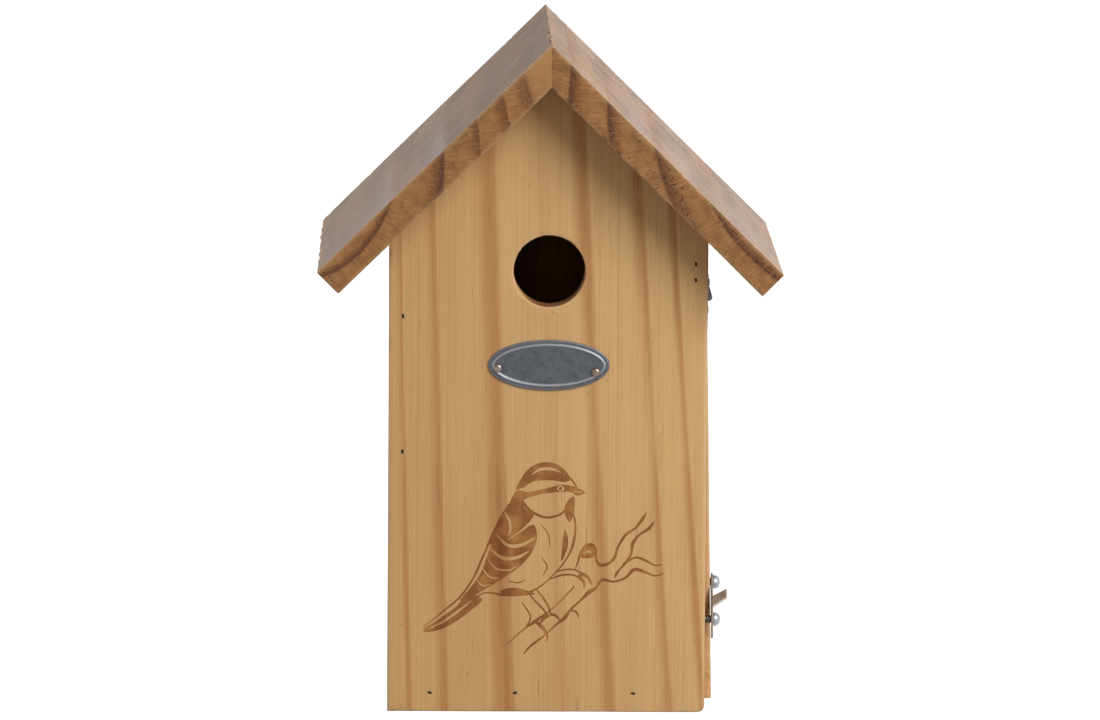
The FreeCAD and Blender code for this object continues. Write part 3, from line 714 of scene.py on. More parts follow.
def stroke(points):
    """A burnt line: each point is x, z and the line's width there."""
    line = curve_through(points)
    way = np.gradient(line[:, :2], axis=0)
    way /= np.linalg.norm(way, axis=1)[:, None]
    broader, thinnest = 1.4, 0.2
    across = np.column_stack([-way[:, 1], way[:, 0]]) * np.maximum(broader * line[:, 2:3], thinnest) / 2
    return np.vstack([line[:, :2] + across, (line[:, :2] - across)[::-1]])


SONGBIRD_FILLS = [
    # crown
    patch([(8.6, 92.6), (6.2, 96.4), (2.0, 98.8), (-3.0, 98.9), (-7.6, 96.6), (-10.6, 92.6), (-12.6, 88.6),
           (-9.8, 89.0), (-6.0, 91.4), (-2.0, 92.0), (2.6, 92.0), (6.4, 91.4)]),
    # stripe from the beak through the eye to the nape
    patch([(12.0, 88.6), (8.6, 89.9), (5.0, 90.3), (1.5, 89.4), (-3.0, 88.3), (-8.0, 87.4), (-12.2, 88.0),
           (-14.0, 84.4), (-10.5, 84.0), (-6.4, 85.5), (-1.5, 86.8), (3.0, 87.3), (7.5, 87.6), (10.4, 87.2)]),
    # mantle
    patch([(-13.0, 86.6), (-16.2, 80.4), (-19.8, 73.4), (-22.6, 66.8), (-17.6, 67.6), (-12.6, 70.6),
           (-8.0, 74.6), (-5.4, 78.6), (-8.4, 80.4), (-10.6, 83.6)]),
    # folded wing
    patch([(-20.4, 68.6), (-23.6, 62.0), (-26.2, 55.0), (-30.6, 48.6), (-34.2, 44.2), (-29.6, 45.8), (-23.0, 49.6),
           (-16.4, 53.8), (-10.6, 58.0), (-6.2, 63.4), (-4.2, 69.4), (-5.6, 74.4), (-10.6, 71.6), (-15.4, 68.6)]),
    # tail
    patch([(-30.6, 46.6), (-36.0, 41.4), (-42.0, 37.0), (-48.2, 32.9), (-47.2, 31.6), (-41.6, 32.8), (-35.6, 36.0),
           (-29.6, 40.6), (-25.6, 44.6)]),
    # throat
    patch([(10.2, 85.6), (8.0, 84.2), (6.6, 81.2), (6.9, 78.0), (8.4, 75.6), (10.0, 78.2), (10.4, 82.0)]),
    # breast feathers
    patch([(6.6, 72.6), (7.9, 69.0), (7.6, 64.6), (5.4, 60.0), (5.6, 64.6), (5.9, 68.8)]),
    # flank
    patch([(-18.6, 47.9), (-13.6, 49.4), (-8.6, 48.4), (-4.6, 46.9), (-10.6, 46.2), (-15.2, 46.3)]),
    # broken stub of the twig
    patch([(12.6, 62.0), (14.2, 65.2), (16.8, 66.4), (18.6, 65.2), (18.4, 62.2), (15.4, 61.2)]),
    # beak
    patch([(10.9, 89.2), (14.6, 87.2), (11.2, 86.0), (9.8, 87.4)]),
]
SONGBIRD_GAPS = [
    # gleam along the crown
    stroke([(4.9, 95.2, 0.2), (1.2, 96.5, 0.9), (-3.2, 96.3, 0.8), (-6.4, 94.2, 0.2)]),
    # eye
    patch([(6.4, 89.0), (5.2, 90.1), (3.9, 89.7), (3.5, 88.5), (4.6, 87.7), (5.9, 88.0)]),
    # wing bars and feather edges
    stroke([(-20.0, 70.2, 0.2), (-15.4, 66.2, 0.9), (-10.2, 66.4, 0.9), (-5.2, 69.2, 0.4)]),
    stroke([(-22.6, 64.8, 0.2), (-17.6, 61.2, 1.0), (-12.0, 61.4, 0.9), (-7.4, 63.8, 0.3)]),
    stroke([(-23.4, 60.6, 0.2), (-20.2, 57.0, 0.55), (-15.2, 56.4, 0.5), (-12.2, 57.8, 0.2)]),
    stroke([(-25.4, 57.0, 0.2), (-22.6, 53.6, 0.6), (-18.6, 53.0, 0.3)]),
    stroke([(-27.6, 52.4, 0.2), (-25.4, 50.2, 0.55), (-22.0, 50.6, 0.2)]),
    stroke([(-17.4, 80.2, 0.2), (-15.2, 76.2, 0.7), (-14.6, 72.6, 0.5), (-15.6, 70.0, 0.2)]),
    # quill lines of the tail
    stroke([(-29.6, 44.2, 0.2), (-35.6, 39.4, 0.75), (-41.0, 35.6, 0.6), (-46.4, 32.9, 0.2)]),
    stroke([(14.0, 63.0, 0.2), (15.8, 63.9, 0.7), (17.4, 63.5, 0.3)]),
    # slit of the beak
    stroke([(9.6, 87.7, 0.15), (12.0, 87.5, 0.35), (13.4, 87.3, 0.15)]),
]
SONGBIRD_LINES = [
    # pupil
    patch([(5.6, 89.0), (5.0, 89.5), (4.3, 89.2), (4.3, 88.4), (5.1, 88.2)]),
    # forehead
    stroke([(8.0, 93.6, 0.3), (9.8, 91.6, 0.5), (11.2, 89.0, 0.6)]),
    # back
    stroke([(-15.4, 82.6, 0.3), (-19.2, 75.6, 0.6), (-22.8, 67.6, 0.7), (-26.2, 59.4, 0.6), (-29.4, 52.4, 0.5),
            (-34.2, 45.6, 0.5), (-40.6, 40.0, 0.4), (-48.4, 33.6, 0.3)]),
    # cheek
    stroke([(-10.6, 84.2, 0.9), (-6.6, 79.8, 0.8), (-1.0, 77.4, 0.7), (4.0, 78.2, 0.6), (7.4, 80.6, 0.5)]),
    # breast and belly
    stroke([(9.9, 79.4, 0.4), (10.8, 73.8, 0.6), (10.0, 67.0, 0.7), (7.2, 60.6, 0.5), (2.4, 54.6, 0.4),
            (-3.6, 49.4, 0.5), (-9.6, 46.8, 0.7), (-16.6, 46.4, 0.6), (-23.6, 47.4, 0.4), (-28.4, 45.6, 0.3)]),
    stroke([(-2.6, 74.6, 0.2), (0.2, 70.6, 0.4), (1.0, 65.6, 0.2)]),
    stroke([(-2.4, 61.6, 0.2), (-0.2, 57.8, 0.45), (-1.8, 54.0, 0.2)]),
    stroke([(-15.2, 52.0, 0.2), (-11.4, 51.4, 0.5), (-8.4, 52.6, 0.2)]),
    # near leg and its toes
    stroke([(-4.6, 49.0, 0.3), (-1.8, 45.6, 0.7), (0.6, 41.6, 0.5), (1.4, 38.6, 0.4)]),
    stroke([(-7.6, 47.4, 0.3), (-4.4, 43.8, 0.6), (-1.2, 40.4, 0.5), (0.4, 37.6, 0.4)]),
    stroke([(1.0, 39.0, 0.9), (3.6, 38.2, 0.7), (5.4, 35.6, 0.2)]),
    stroke([(0.6, 38.6, 0.9), (-2.0, 36.4, 0.7), (-3.2, 33.6, 0.2)]),
    # far leg and its toes
    stroke([(1.0, 52.8, 0.3), (5.2, 54.4, 0.6), (9.6, 54.6, 0.5), (12.4, 53.6, 0.5)]),
    stroke([(3.0, 55.4, 0.3), (6.6, 56.6, 0.5), (10.6, 56.6, 0.5), (13.6, 55.0, 0.6)]),
    stroke([(12.6, 55.2, 1.2), (15.6, 53.8, 0.9), (17.4, 50.8, 0.25)]),
    stroke([(12.0, 54.2, 1.0), (14.2, 51.8, 0.8), (14.4, 49.2, 0.25)]),
    # upper edge of the twig
    stroke([(-15.4, 27.0, 0.25), (-12.0, 30.4, 0.6), (-8.4, 33.4, 0.5), (-4.2, 36.4, 1.0), (1.4, 40.6, 0.4),
            (6.6, 45.6, 0.5), (10.6, 50.0, 0.4)]),
    stroke([(10.8, 56.8, 0.3), (12.0, 60.0, 0.5), (12.8, 63.2, 0.6), (14.4, 66.0, 0.5), (17.2, 66.8, 0.6),
            (18.8, 64.6, 0.7), (19.0, 61.2, 0.5), (20.4, 58.6, 0.9), (23.4, 59.0, 0.8), (26.0, 61.2, 0.8),
            (27.6, 65.8, 0.6), (30.6, 70.6, 0.8), (34.4, 73.4, 0.5), (37.4, 77.4, 0.9), (38.6, 79.6, 0.2)]),
    # the fork
    stroke([(41.8, 76.2, 0.2), (39.4, 73.0, 0.9), (35.8, 70.6, 0.5), (33.4, 67.2, 0.9), (32.6, 62.8, 0.6),
            (30.6, 59.6, 0.8), (28.6, 57.2, 0.5), (27.0, 55.0, 0.8), (26.4, 53.4, 0.2)]),
    stroke([(30.4, 59.4, 0.4), (34.6, 61.6, 0.6), (38.4, 60.4, 0.7), (41.8, 58.6, 0.4), (45.0, 58.9, 0.2)]),
    # lower edge of the twig
    stroke([(-9.2, 23.0, 0.25), (-6.0, 26.6, 0.7), (-1.2, 30.2, 0.5), (3.4, 34.6, 0.6), (6.8, 37.4, 1.1),
            (9.2, 40.8, 0.7), (13.0, 44.4, 0.6), (16.4, 47.8, 1.2), (19.0, 49.4, 0.7), (21.4, 52.6, 0.8),
            (26.0, 52.0, 0.6), (30.4, 53.4, 0.7), (34.0, 56.8, 1.0), (38.2, 55.8, 0.8), (42.0, 54.4, 0.5),
            (45.6, 55.2, 0.2)]),
    # shoots
    stroke([(-8.2, 33.4, 0.6), (-6.6, 38.0, 0.5), (-9.8, 43.6, 0.3)]),
    stroke([(-4.8, 36.2, 0.8), (-1.6, 33.4, 1.0), (0.2, 30.0, 0.5), (-0.6, 28.0, 0.2)]),
    stroke([(9.0, 40.6, 0.5), (11.4, 39.8, 0.6), (12.4, 37.6, 0.2)]),
]


def in_drawing(places):
    """Whether each place on the front board is burnt."""
    return (in_any(SONGBIRD_FILLS, places) & ~in_any(SONGBIRD_GAPS, places)) | in_any(SONGBIRD_LINES, places)


def in_any(outlines, places):
    return np.any([inside(outline, places) for outline in outlines], axis=0)


# ----------------------------------------------------------------- the boards

BOARD = 12.0                                   # thickness of every board
HALF_WIDE = 62.5                               # half the width of the front and back boards
ENTRANCE, HANGING = 14, 2.5                    # radii of the entrance and of the hanging holes
FRONT_LOW, FRONT_HIGH = box_of("front_board")
BACK_HIGH = box_of("back_board")[1]
EAVES = FRONT_HIGH[2] - FRONT_HIGH[0] * SLOPE  # tops of the long edges of front and back
HOLE_HEIGHT = EAVES - 12.5
LOW_HOLE_HEIGHT = 45


def rectangle(low, high):
    """The corners of a rectangle, from its lowest and highest."""
    return [(low[0], low[1]), (high[0], low[1]), (high[0], high[1]), (low[0], high[1])]


def brad_cut(solids, flat):
    """A pocket pressed by each brad's head; flat turns its corners into (u, v, w) of the board."""
    head_depth, tight, squareness, pocket, corners = 0.9, 0.86, 0.6, 0.45, 14
    lines = []
    draw = np.random.default_rng(len(solids))
    turn = 2 * np.pi * np.arange(corners) / corners
    for solid in solids:
        u, v, w = flat(solid.T)
        head = w < w.min() + head_depth
        low = np.array([u[head].min(), v[head].min()])
        high = np.array([u[head].max(), v[head].max()])
        lean = math.radians(draw.normal(0, 11))
        around = np.column_stack([
            np.sign(wave) * np.abs(wave) ** squareness for wave in (np.cos(turn), np.sin(turn))])
        around *= (high - low) / 2 * tight
        around *= 1 + draw.uniform(-0.16, 0.10, (corners, 1))
        leant = around @ np.array([[math.cos(lean), math.sin(lean)], [-math.sin(lean), math.cos(lean)]])
        lines.append((low + high) / 2 + leant)
    # the pocket's mark paints it dark: painted shade in the pocket
    return lines, lambda places: in_any(lines, places), pocket, "painted_pocket_shade"


FRONT_PINE = pine("front_pine", "z", front_growth, 11.0, lighter=(203, 162, 109), engraved=True)
BACK_PINE = pine("back_pine", "z", even_growth("x", -12, "y", 18, 8.5), 23.0, (196, 156, 107), (166, 118, 76))
LEFT_PINE = pine("left_wall_pine", "z", even_growth("y", 22, "x", -4, 8.0), 37.0, (197, 156, 106), (164, 115, 72))
DOOR_PINE = pine("door_pine", "z", even_growth("y", -6, "x", 18, 7.5), 41.0, (196, 152, 104), (160, 110, 70))
RAIL_PINE = pine("rail_pine", "z", even_growth("y", 40, "x", 10, 7.0), 53.0, (194, 151, 103), (162, 113, 72))
FLOOR_PINE = pine("floor_pine", "x", even_growth("y", 20, "z", -42, 8.0), 61.0, (194, 154, 106), (164, 118, 78))

ENGRAVED = 0.15
front = Slab(
    [(-HALF_WIDE, 0), (59.6, 0), (61.3, 0.6), (62.0, 2.2), (61.8, EAVES), (0, FRONT_HIGH[2]), (-HALF_WIDE, EAVES)],
    BOARD, [0.5, 0.8, 1.0, 1.2, 0.3, 0.3, 0.6], [(0, HOLE_HEIGHT, ENTRANCE)],
    [(SONGBIRD_FILLS + SONGBIRD_GAPS + SONGBIRD_LINES, in_drawing, ENGRAVED, "burn"),
     brad_cut(islands("front_brads"), lambda p: (p[0], p[2], p[1] - FRONT_LOW[1]))],
    hole_ease=0.6, front_step=(1.4, 2.6), layers=6, seed=3)
board("front_panel", front, lambda u, v, w: (u, FRONT_LOW[1] + w, v), "carcass", "front_board", "pine_front",
      FRONT_PINE, "z", 3.0, chip=0.7, nick=(1.1, 2.4))

back = Slab(
    [(-HALF_WIDE, 0), (HALF_WIDE, 0), (HALF_WIDE, EAVES), (0, BACK_HIGH[2]), (-HALF_WIDE, EAVES)], BOARD,
    [0.5, 0.6, 0.3, 0.3, 0.6], [(0, HOLE_HEIGHT, HANGING), (0, LOW_HOLE_HEIGHT, HANGING)],
    [brad_cut(islands("back_brads"), lambda p: (p[0], p[2], BACK_HIGH[1] - p[1]))],
    hole_ease=0.3, front_step=(2.2, 4.0), seed=4)
board("back_panel", back, lambda u, v, w: (u, BACK_HIGH[1] - w, v), "carcass", "back_board", "pine_walls",
      BACK_PINE, "z", 5.0)

low, high = box_of("left_side_board")
left_wall = Slab(rectangle((low[1], 0), (high[1], EAVES)), BOARD, [0.5, 0.3, 0.3, 0.3], front_step=(2.2, 4.0), seed=5)
board("left_wall", left_wall, lambda u, v, w: (-HALF_WIDE + w, u, v * (1 + w * SLOPE / EAVES)), "carcass",
      "left_side_board", "pine_walls", LEFT_PINE, "z", 7.0)

low, high = box_of("right_top_rail")
rail_foot, rail_top, door_face = low[2], high[2] - BOARD * SLOPE, high[0]
rail = Slab(rectangle((low[1], rail_foot), (high[1], rail_top)), BOARD, [1.4, 0.3, 0.3, 0.3], front_step=(2.2, 3.0),
            seed=6)
board("door_rail", rail,
      lambda u, v, w: (door_face - w, u, v + (v - rail_foot) / (rail_top - rail_foot) * w * SLOPE), "carcass",
      "right_top_rail", "pine_walls", RAIL_PINE, "z", 9.0)


DOOR_LOW, DOOR_HIGH = box_of("side_door")
SPRING = DOOR_HIGH[0] - door_face              # how far the door's foot stands out
BEND = 150.7                                   # height below which the door leans out


def door_place(u, v, w):
    """The door, sprung out towards its foot, with torn fibres on its front edge."""
    fall = np.clip((BEND - v) / (BEND - DOOR_LOW[2]), 0, 1)
    torn = np.clip((54 - v) / 12, 0, 1) * np.clip((-45.4 - u) / 1.6, 0, 1)
    tear = [noise.noise(Vector((a / 2.2, b / 1.5, 4.0))) + 0.6 * noise.noise(Vector((a / 0.9, b / 0.8, 9.0)))
            for a, b in zip(v, w)]
    return door_face - w + SPRING * fall, u + torn * (0.55 * np.array(tear) + 0.35), v


door = Slab(rectangle(DOOR_LOW[1:], DOOR_HIGH[1:]), BOARD, [0.7, 0.5, 1.4, 0.8], spacing=1.0, front_step=(2.0, 3.5),
            layers=9, seed=7)
board("door_panel", door, door_place, "door", "side_door", "pine_walls", DOOR_PINE, "z", 11.0)

low, high = box_of("floor_board")
clip = 8.0                                     # drainage corner
floor = Slab([(low[0] + clip, low[1]), (high[0] - clip, low[1]), (high[0], low[1] + clip), (high[0], high[1] - clip),
              (high[0] - clip, high[1]), (low[0] + clip, high[1]), (low[0], high[1] - clip), (low[0], low[1] + clip)],
             BOARD, 0.4, front_step=(3.0, 3.0), back_step=(3.0, 3.0), seed=8)
floor_top = high[2]
board("floor_panel", floor, lambda u, v, w: (u, v, floor_top - w), "carcass", "floor_board", "pine_walls",
      FLOOR_PINE, "x", 13.0)

ROOF_LENGTH = box_of("roof_board_right")[1][0] / math.cos(PITCH)
ROOF_FRONT = box_of("roof_board_right")[0][1]


def roof_place(hand, ragged):
    """Where a roof board lies: u runs down the slope from the ridge, v to the back and w into the board."""
    def where(u, v, w):
        reach = 14
        at_eave = np.clip((u - ROOF_LENGTH + reach) / reach, 0, 1) ** 2
        rag = np.array([noise.noise(Vector((a / 11, 2.0, 5.0))) + 0.5 * noise.noise(Vector((a / 3.6, b / 9, 8.0)))
                        for a, b in zip(v, w)])
        u = u + at_eave * ragged * (rag - 0.45)
        slope = u + (1 - u / ROOF_LENGTH) * w * SLOPE
        return (hand * (slope * math.cos(PITCH) - w * math.sin(PITCH)), v,
                ROOF_TOP - slope * math.sin(PITCH) - w * math.cos(PITCH))
    return where


def roof_flat(hand):
    """The way back, from a place to (u, v, w) on a roof board's top."""
    def flat(place):
        x, down = hand * place[0], place[2] - ROOF_TOP
        return (x * math.cos(PITCH) - down * math.sin(PITCH), place[1],
                -x * math.sin(PITCH) - down * math.cos(PITCH))
    return flat


LEFT_RINGS = ((48.0, 3.4, 0.5, 1.0), (65.7, 7.0, 0.4, 1.0), (80.0, 5.0, 0.4, 0.7), (92.3, 6.0, 0.4, 0.65),
              (102.8, 6.5, 0.4, 0.8), (114.2, 4.0, 0.5, 0.3))
RIGHT_RINGS = ((86.9, 4.6, 0.5, 0.9), (100.6, 7.0, 0.4, 0.75), (117.6, 5.5, 0.4, 0.9), (132.4, 6.0, 0.4, 1.0),
               (141.5, 3.0, 0.5, 0.25))
LEFT_BLEACH = ((0.0, 0.0), (0.06, 0.12), (0.12, 0.0), (0.43, 0.05), (0.465, 0.75), (0.54, 0.35), (0.65, 0.1),
               (0.69, 0.7), (0.80, 0.3), (1.0, 0.35))
RIGHT_BLEACH = ((0.0, 0.0), (0.3, 0.05), (0.38, 0.3), (0.46, 0.05), (0.56, 0.4), (0.64, 0.1), (0.7, 0.25),
                (1.0, 0.35))
for side, hand, pith_along, pith_over, rings, bleach, ragged, seed in (
        ("left", -1, 108.7, 41.5, LEFT_RINGS, LEFT_BLEACH, 0.9, 71.0),
        ("right", 1, 114, 82, RIGHT_RINGS, RIGHT_BLEACH, 0.25, 83.0)):
    finish = pine(f"roof_{side}_pine", "y", roof_growth(hand, pith_along, pith_over, rings), seed,
                  (186, 144, 100), (150, 100, 62), (178, 132, 92), hand=hand, bleach=bleach)
    own_brads = [solid for solid in islands("roof_brads") if solid[:, 0].mean() * hand > 0]
    slab = Slab(rectangle((0, ROOF_FRONT), (ROOF_LENGTH, -ROOF_FRONT)), BOARD, [0.5, 0.6, 0.5, 0.12],
                cuts=[brad_cut(own_brads, roof_flat(hand))], spacing=1.1, front_step=(2.2, 3.6), back_ease=0.35,
                layers=8, seed=int(seed))
    board(f"roof_{side}", slab, roof_place(hand, ragged), "carcass", f"roof_board_{side}", "pine_roof", finish, "y",
          seed, chip=1.3)


# --------------------------------------------------------------- the hardware

ZINC_PLATE = sheet_metal("stamped_zinc", (83, 86, 91), (176, 178, 182), 3.0, 0.42, 0.8, (60, 62, 67), 0.6, 4.0)
BRIGHT_ZINC = sheet_metal("bright_zinc", (166, 170, 176), (214, 217, 222), 5.0, 0.28, 0.95, (96, 92, 88), 0.45, 1.6)
WARM_NAILS = sheet_metal("warm_nails", (132, 118, 108), (196, 188, 180), 17.0, 0.22, 0.95, (88, 70, 58), 0.6, 1.2)
HINGE_STEEL = sheet_metal("hinge_steel", (80, 69, 61), (158, 150, 142), 7.0, 0.42, 0.9, (58, 44, 36), 0.65, 2.2)
# the hook's brownish tint is painted reflection of the wood beside it, over the steel's own colour
HOOK_STEEL_AND_WOOD_REFLECTION = sheet_metal("hook_steel_and_wood_reflection", (140, 124, 106), (188, 180, 170), 9.0, 0.40, 0.85, (92, 72, 54), 0.55, 3.2)
DARK_STEEL = sheet_metal("dark_brads", (38, 33, 30), (92, 84, 76), 13.0, 0.6, 0.6, (44, 28, 20), 0.5, 0.8)

for node in ("front_brads", "back_brads", "roof_brads"):
    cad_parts[node].data.materials[0] = DARK_STEEL


# the plate's rim and bead from its edge: how far in, how high and how rubbed each line is; on the bead's crest the
# rub is also painted highlight
PLATE_PROFILE = (
    (0.3, 0.0, 0.0), (0.0, 0.12, 0.1), (0.0, 0.52, 0.2), (0.10, 0.72, 0.25), (0.32, 0.82, 0.12), (0.9, 0.84, 0.0),
    (1.34, 0.80, 0.0), (1.56, 0.88, 0.3), (1.78, 1.10, 0.6), (1.95, 1.20, 0.8), (2.12, 1.10, 0.6), (2.34, 0.88, 0.3),
    (2.6, 0.78, 0.0))
PLATE_FIELD = 0.76                             # height of the plate's field


def oval_plate():
    """The stamped plate: a rolled rim, a raised bead and a slightly uneven field, with nothing on it."""
    low, high = box_of("name_plate")
    middle = (low + high) / 2
    half_wide, half_high = (high[0] - low[0]) / 2, (high[2] - low[2]) / 2
    count = 176
    turn = 2 * np.pi * np.arange(count) / count
    rim = np.column_stack([half_wide * np.cos(turn), half_high * np.sin(turn)])
    out = np.column_stack([half_high * np.cos(turn), half_wide * np.sin(turn)])
    out /= np.linalg.norm(out, axis=1)[:, None]
    # the rub of each line paints the rim and the bead's crest paler: wear, and on the bead painted highlight
    levels = [(rim - out * inset, height, wear) for inset, height, wear in PLATE_PROFILE]
    field = levels[-1][0]
    levels += [(field * scale, PLATE_FIELD, 0.0) for scale in np.linspace(0.94, 0.06, 14)]
    points, wear = [(0, 0, 0.0)], [0.0]
    for flat, height, rubbed in levels:
        dents = [0.05 * noise.noise(Vector((a / 3, b / 3, 2.0))) + 0.03 * noise.noise(Vector((a, b, 6.0)))
                 for a, b in flat]
        points += [(a, b, height + (dent if height else 0)) for (a, b), dent in zip(flat, dents)]
        wear += [rubbed] * count
    points.append((0, 0, PLATE_FIELD))
    wear.append(0.0)
    last = len(points) - 1
    faces = [(0, 1 + (k + 1) % count, 1 + k) for k in range(count)]
    for first in range(1, last - count, count):
        faces += [(first + k, first + (k + 1) % count, first + (k + 1) % count + count, first + k + count)
                  for k in range(count)]
    faces += [(last - count + k, last - count + (k + 1) % count, last) for k in range(count)]
    u, v, w = np.array(points).T
    shape = np.column_stack([middle[0] + u, high[1] - w, middle[2] + v]), faces, only_wear(wear)
    new_piece("oval_plate", shape, "carcass", ["name_plate"], ZINC_PLATE, 60)


oval_plate()

PIN_LOW, PIN_HIGH = box_of("hinge_front_pin")
AXIS_X, AXIS_Z = (PIN_LOW[0] + PIN_HIGH[0]) / 2, (PIN_LOW[2] + PIN_HIGH[2]) / 2
BARREL = box_of("hinge_front_door_leaf")[1][0] - AXIS_X


def barrel(start, end, radius=BARREL, dome=0.0):
    """A length of hinge barrel or pin along the hinge's axis, with eased and perhaps domed ends."""
    ease = 0.22
    profile = [(0, start - dome, 0.4), (radius - ease, start - dome * 0.6, 0.6), (radius, start + ease, 0.9),
               (radius, (start + end) / 2, 0.2), (radius, end - ease, 0.9), (radius - ease, end + dome * 0.6, 0.6),
               (0, end + dome, 0.4)]
    return turned(profile, lambda u, v, w: (AXIS_X + u, w, AXIS_Z + v))


def hinge(place):
    """A butt hinge: two knuckles on the rail's leaf, one on the door's, and its pin."""
    low, high = box_of(f"hinge_{place}_pin")
    third = (high[1] - low[1]) / 3
    reach, room, tongue_start, gap = 9.0, 1.9, 0.6, 0.1
    pin_radius, pin_dome = 0.7, 0.25
    for part, body, way, knuckles, sheet in (("rail", "carcass", 1, (0, 2), 0.6), ("door", "door", -1, (1,), 0.4)):
        tongues = [(third * k + gap, third * (k + 1) - gap) for k in knuckles]
        edge = []
        for start, end in tongues:
            edge += [(start, room), (start, tongue_start), (end, tongue_start), (end, room)]
        edge = [p for p in edge if gap < p[0] < 3 * third - gap or p[1] == tongue_start or 1 in knuckles]
        outline = np.array([(3 * third, reach), (0, reach), *([] if 0 in knuckles else [(0, room)]), *edge,
                            *([] if 2 in knuckles else [(3 * third, room)])])
        outline[:, 1] *= way
        if way < 0:
            outline = outline[::-1]
        plate = Slab(outline, sheet, 0.14, back_ease=0.1, spacing=0.9, front_step=(1.2, 1.2), layers=2)
        shapes = [plate.placed(lambda u, v, w: (door_face + sheet - w, low[1] + u, AXIS_Z + v))]
        shapes += [barrel(low[1] + start, low[1] + end) for start, end in tongues]
        new_piece(f"{place}_hinge_{part}_leaf", together(*shapes), body, [f"hinge_{place}_{part}_leaf"],
                  HINGE_STEEL)
    new_piece(f"{place}_hinge_pin", barrel(low[1], high[1], pin_radius, pin_dome), "carcass", [f"hinge_{place}_pin"],
              HINGE_STEEL)


hinge("front")
hinge("rear")


HOOK_IN, HOOK_TILT = 0.3, 0.012                # the hook stands closer than its node, and leans
HOOK_SHEET = 0.8


def hook():
    """The flat latch hook, turned forward onto the keeper screw, with its thumb tab."""
    pivot, keeper = (sum(box_of(f"latch_{name}_screw")) / 2 for name in ("pivot", "keeper"))
    back, down = pivot[1] - keeper[1], pivot[2] - keeper[2]
    reach, lean = math.hypot(back, down), math.atan2(back, down)
    half, slot, tail = 3.5, 2.0, 7.7
    tilt = math.asin(half / reach) / 2
    face = box_of("latch_hook")[0][0] + HOOK_SHEET
    end = -reach - tail
    eye = [(half * math.cos(a), half * math.sin(a)) for a in np.radians(np.arange(0, 181, 12))]
    seat = [(slot * math.cos(a + tilt), -reach + slot * math.sin(a + tilt))
            for a in np.radians(np.arange(-90, -271, -15))]
    mouth = [-reach + (half + side * slot * math.sin(tilt)) * math.tan(tilt) + side * slot for side in (-1, 1)]
    outline = [*eye, (-half, end + 3), (-half + 3, end), (half - 1.5, end), (half, end + 1.5), (half, mouth[0]),
               *seat, (half, mouth[1])]
    strip = Slab(outline, HOOK_SHEET, 0.16, back_ease=0.12, spacing=0.9, front_step=(0.9, 0.9), layers=2)
    tab = Slab([(0.2, -14.4), (6.0, -9.85), (6.3, -9.2), (6.3, -5.9), (5.9, -5.5), (0.2, -9.0)], HOOK_SHEET, 0.16,
               back_ease=0.12, spacing=0.7, front_step=(0.8, 0.8), layers=2)

    def hung(out, u, v):
        return (out - HOOK_IN + HOOK_TILT * v, pivot[1] + u * math.cos(lean) + v * math.sin(lean),
                pivot[2] - u * math.sin(lean) + v * math.cos(lean))

    shapes = [strip.placed(lambda u, v, w: hung(face - w, u, v)),
              tab.placed(lambda u, v, w: hung(face - HOOK_SHEET + u, -half + w, v))]
    new_piece("latch_hook_plate", together(*shapes), "latch", ["latch_hook"], HOOK_STEEL_AND_WOOD_REFLECTION)


hook()


# ---------------------------------------------------------- screws and nails

class Tree:
    """A geometry node tree in the making."""

    def __init__(self, name):
        self.group = bpy.data.node_groups.new(name, "GeometryNodeTree")
        self.way_in = self.group.nodes.new("NodeGroupInput")

    def socket(self, name, kind, way="INPUT"):
        self.group.interface.new_socket(name=name, in_out=way, socket_type="NodeSocket" + kind)
        return self.way_in.outputs[name] if way == "INPUT" else None

    def node(self, kind, settings=(), sockets=(), out=0):
        made = self.group.nodes.new(kind)
        for name, value in dict(settings).items():
            setattr(made, name, value)
        for name, value in dict(sockets).items():
            if isinstance(value, bpy.types.NodeSocket):
                self.group.links.new(value, made.inputs[name])
            else:
                made.inputs[name].default_value = value
        return made.outputs[out]

    def math(self, operation, *values):
        return self.node("ShaderNodeMath", {"operation": operation}, enumerate(values))

    def upright(self, height):
        return self.node("ShaderNodeCombineXYZ", (), {2: height})


HEAD_STEPS = 17                                # steps of a head's profile, from its rim to its top


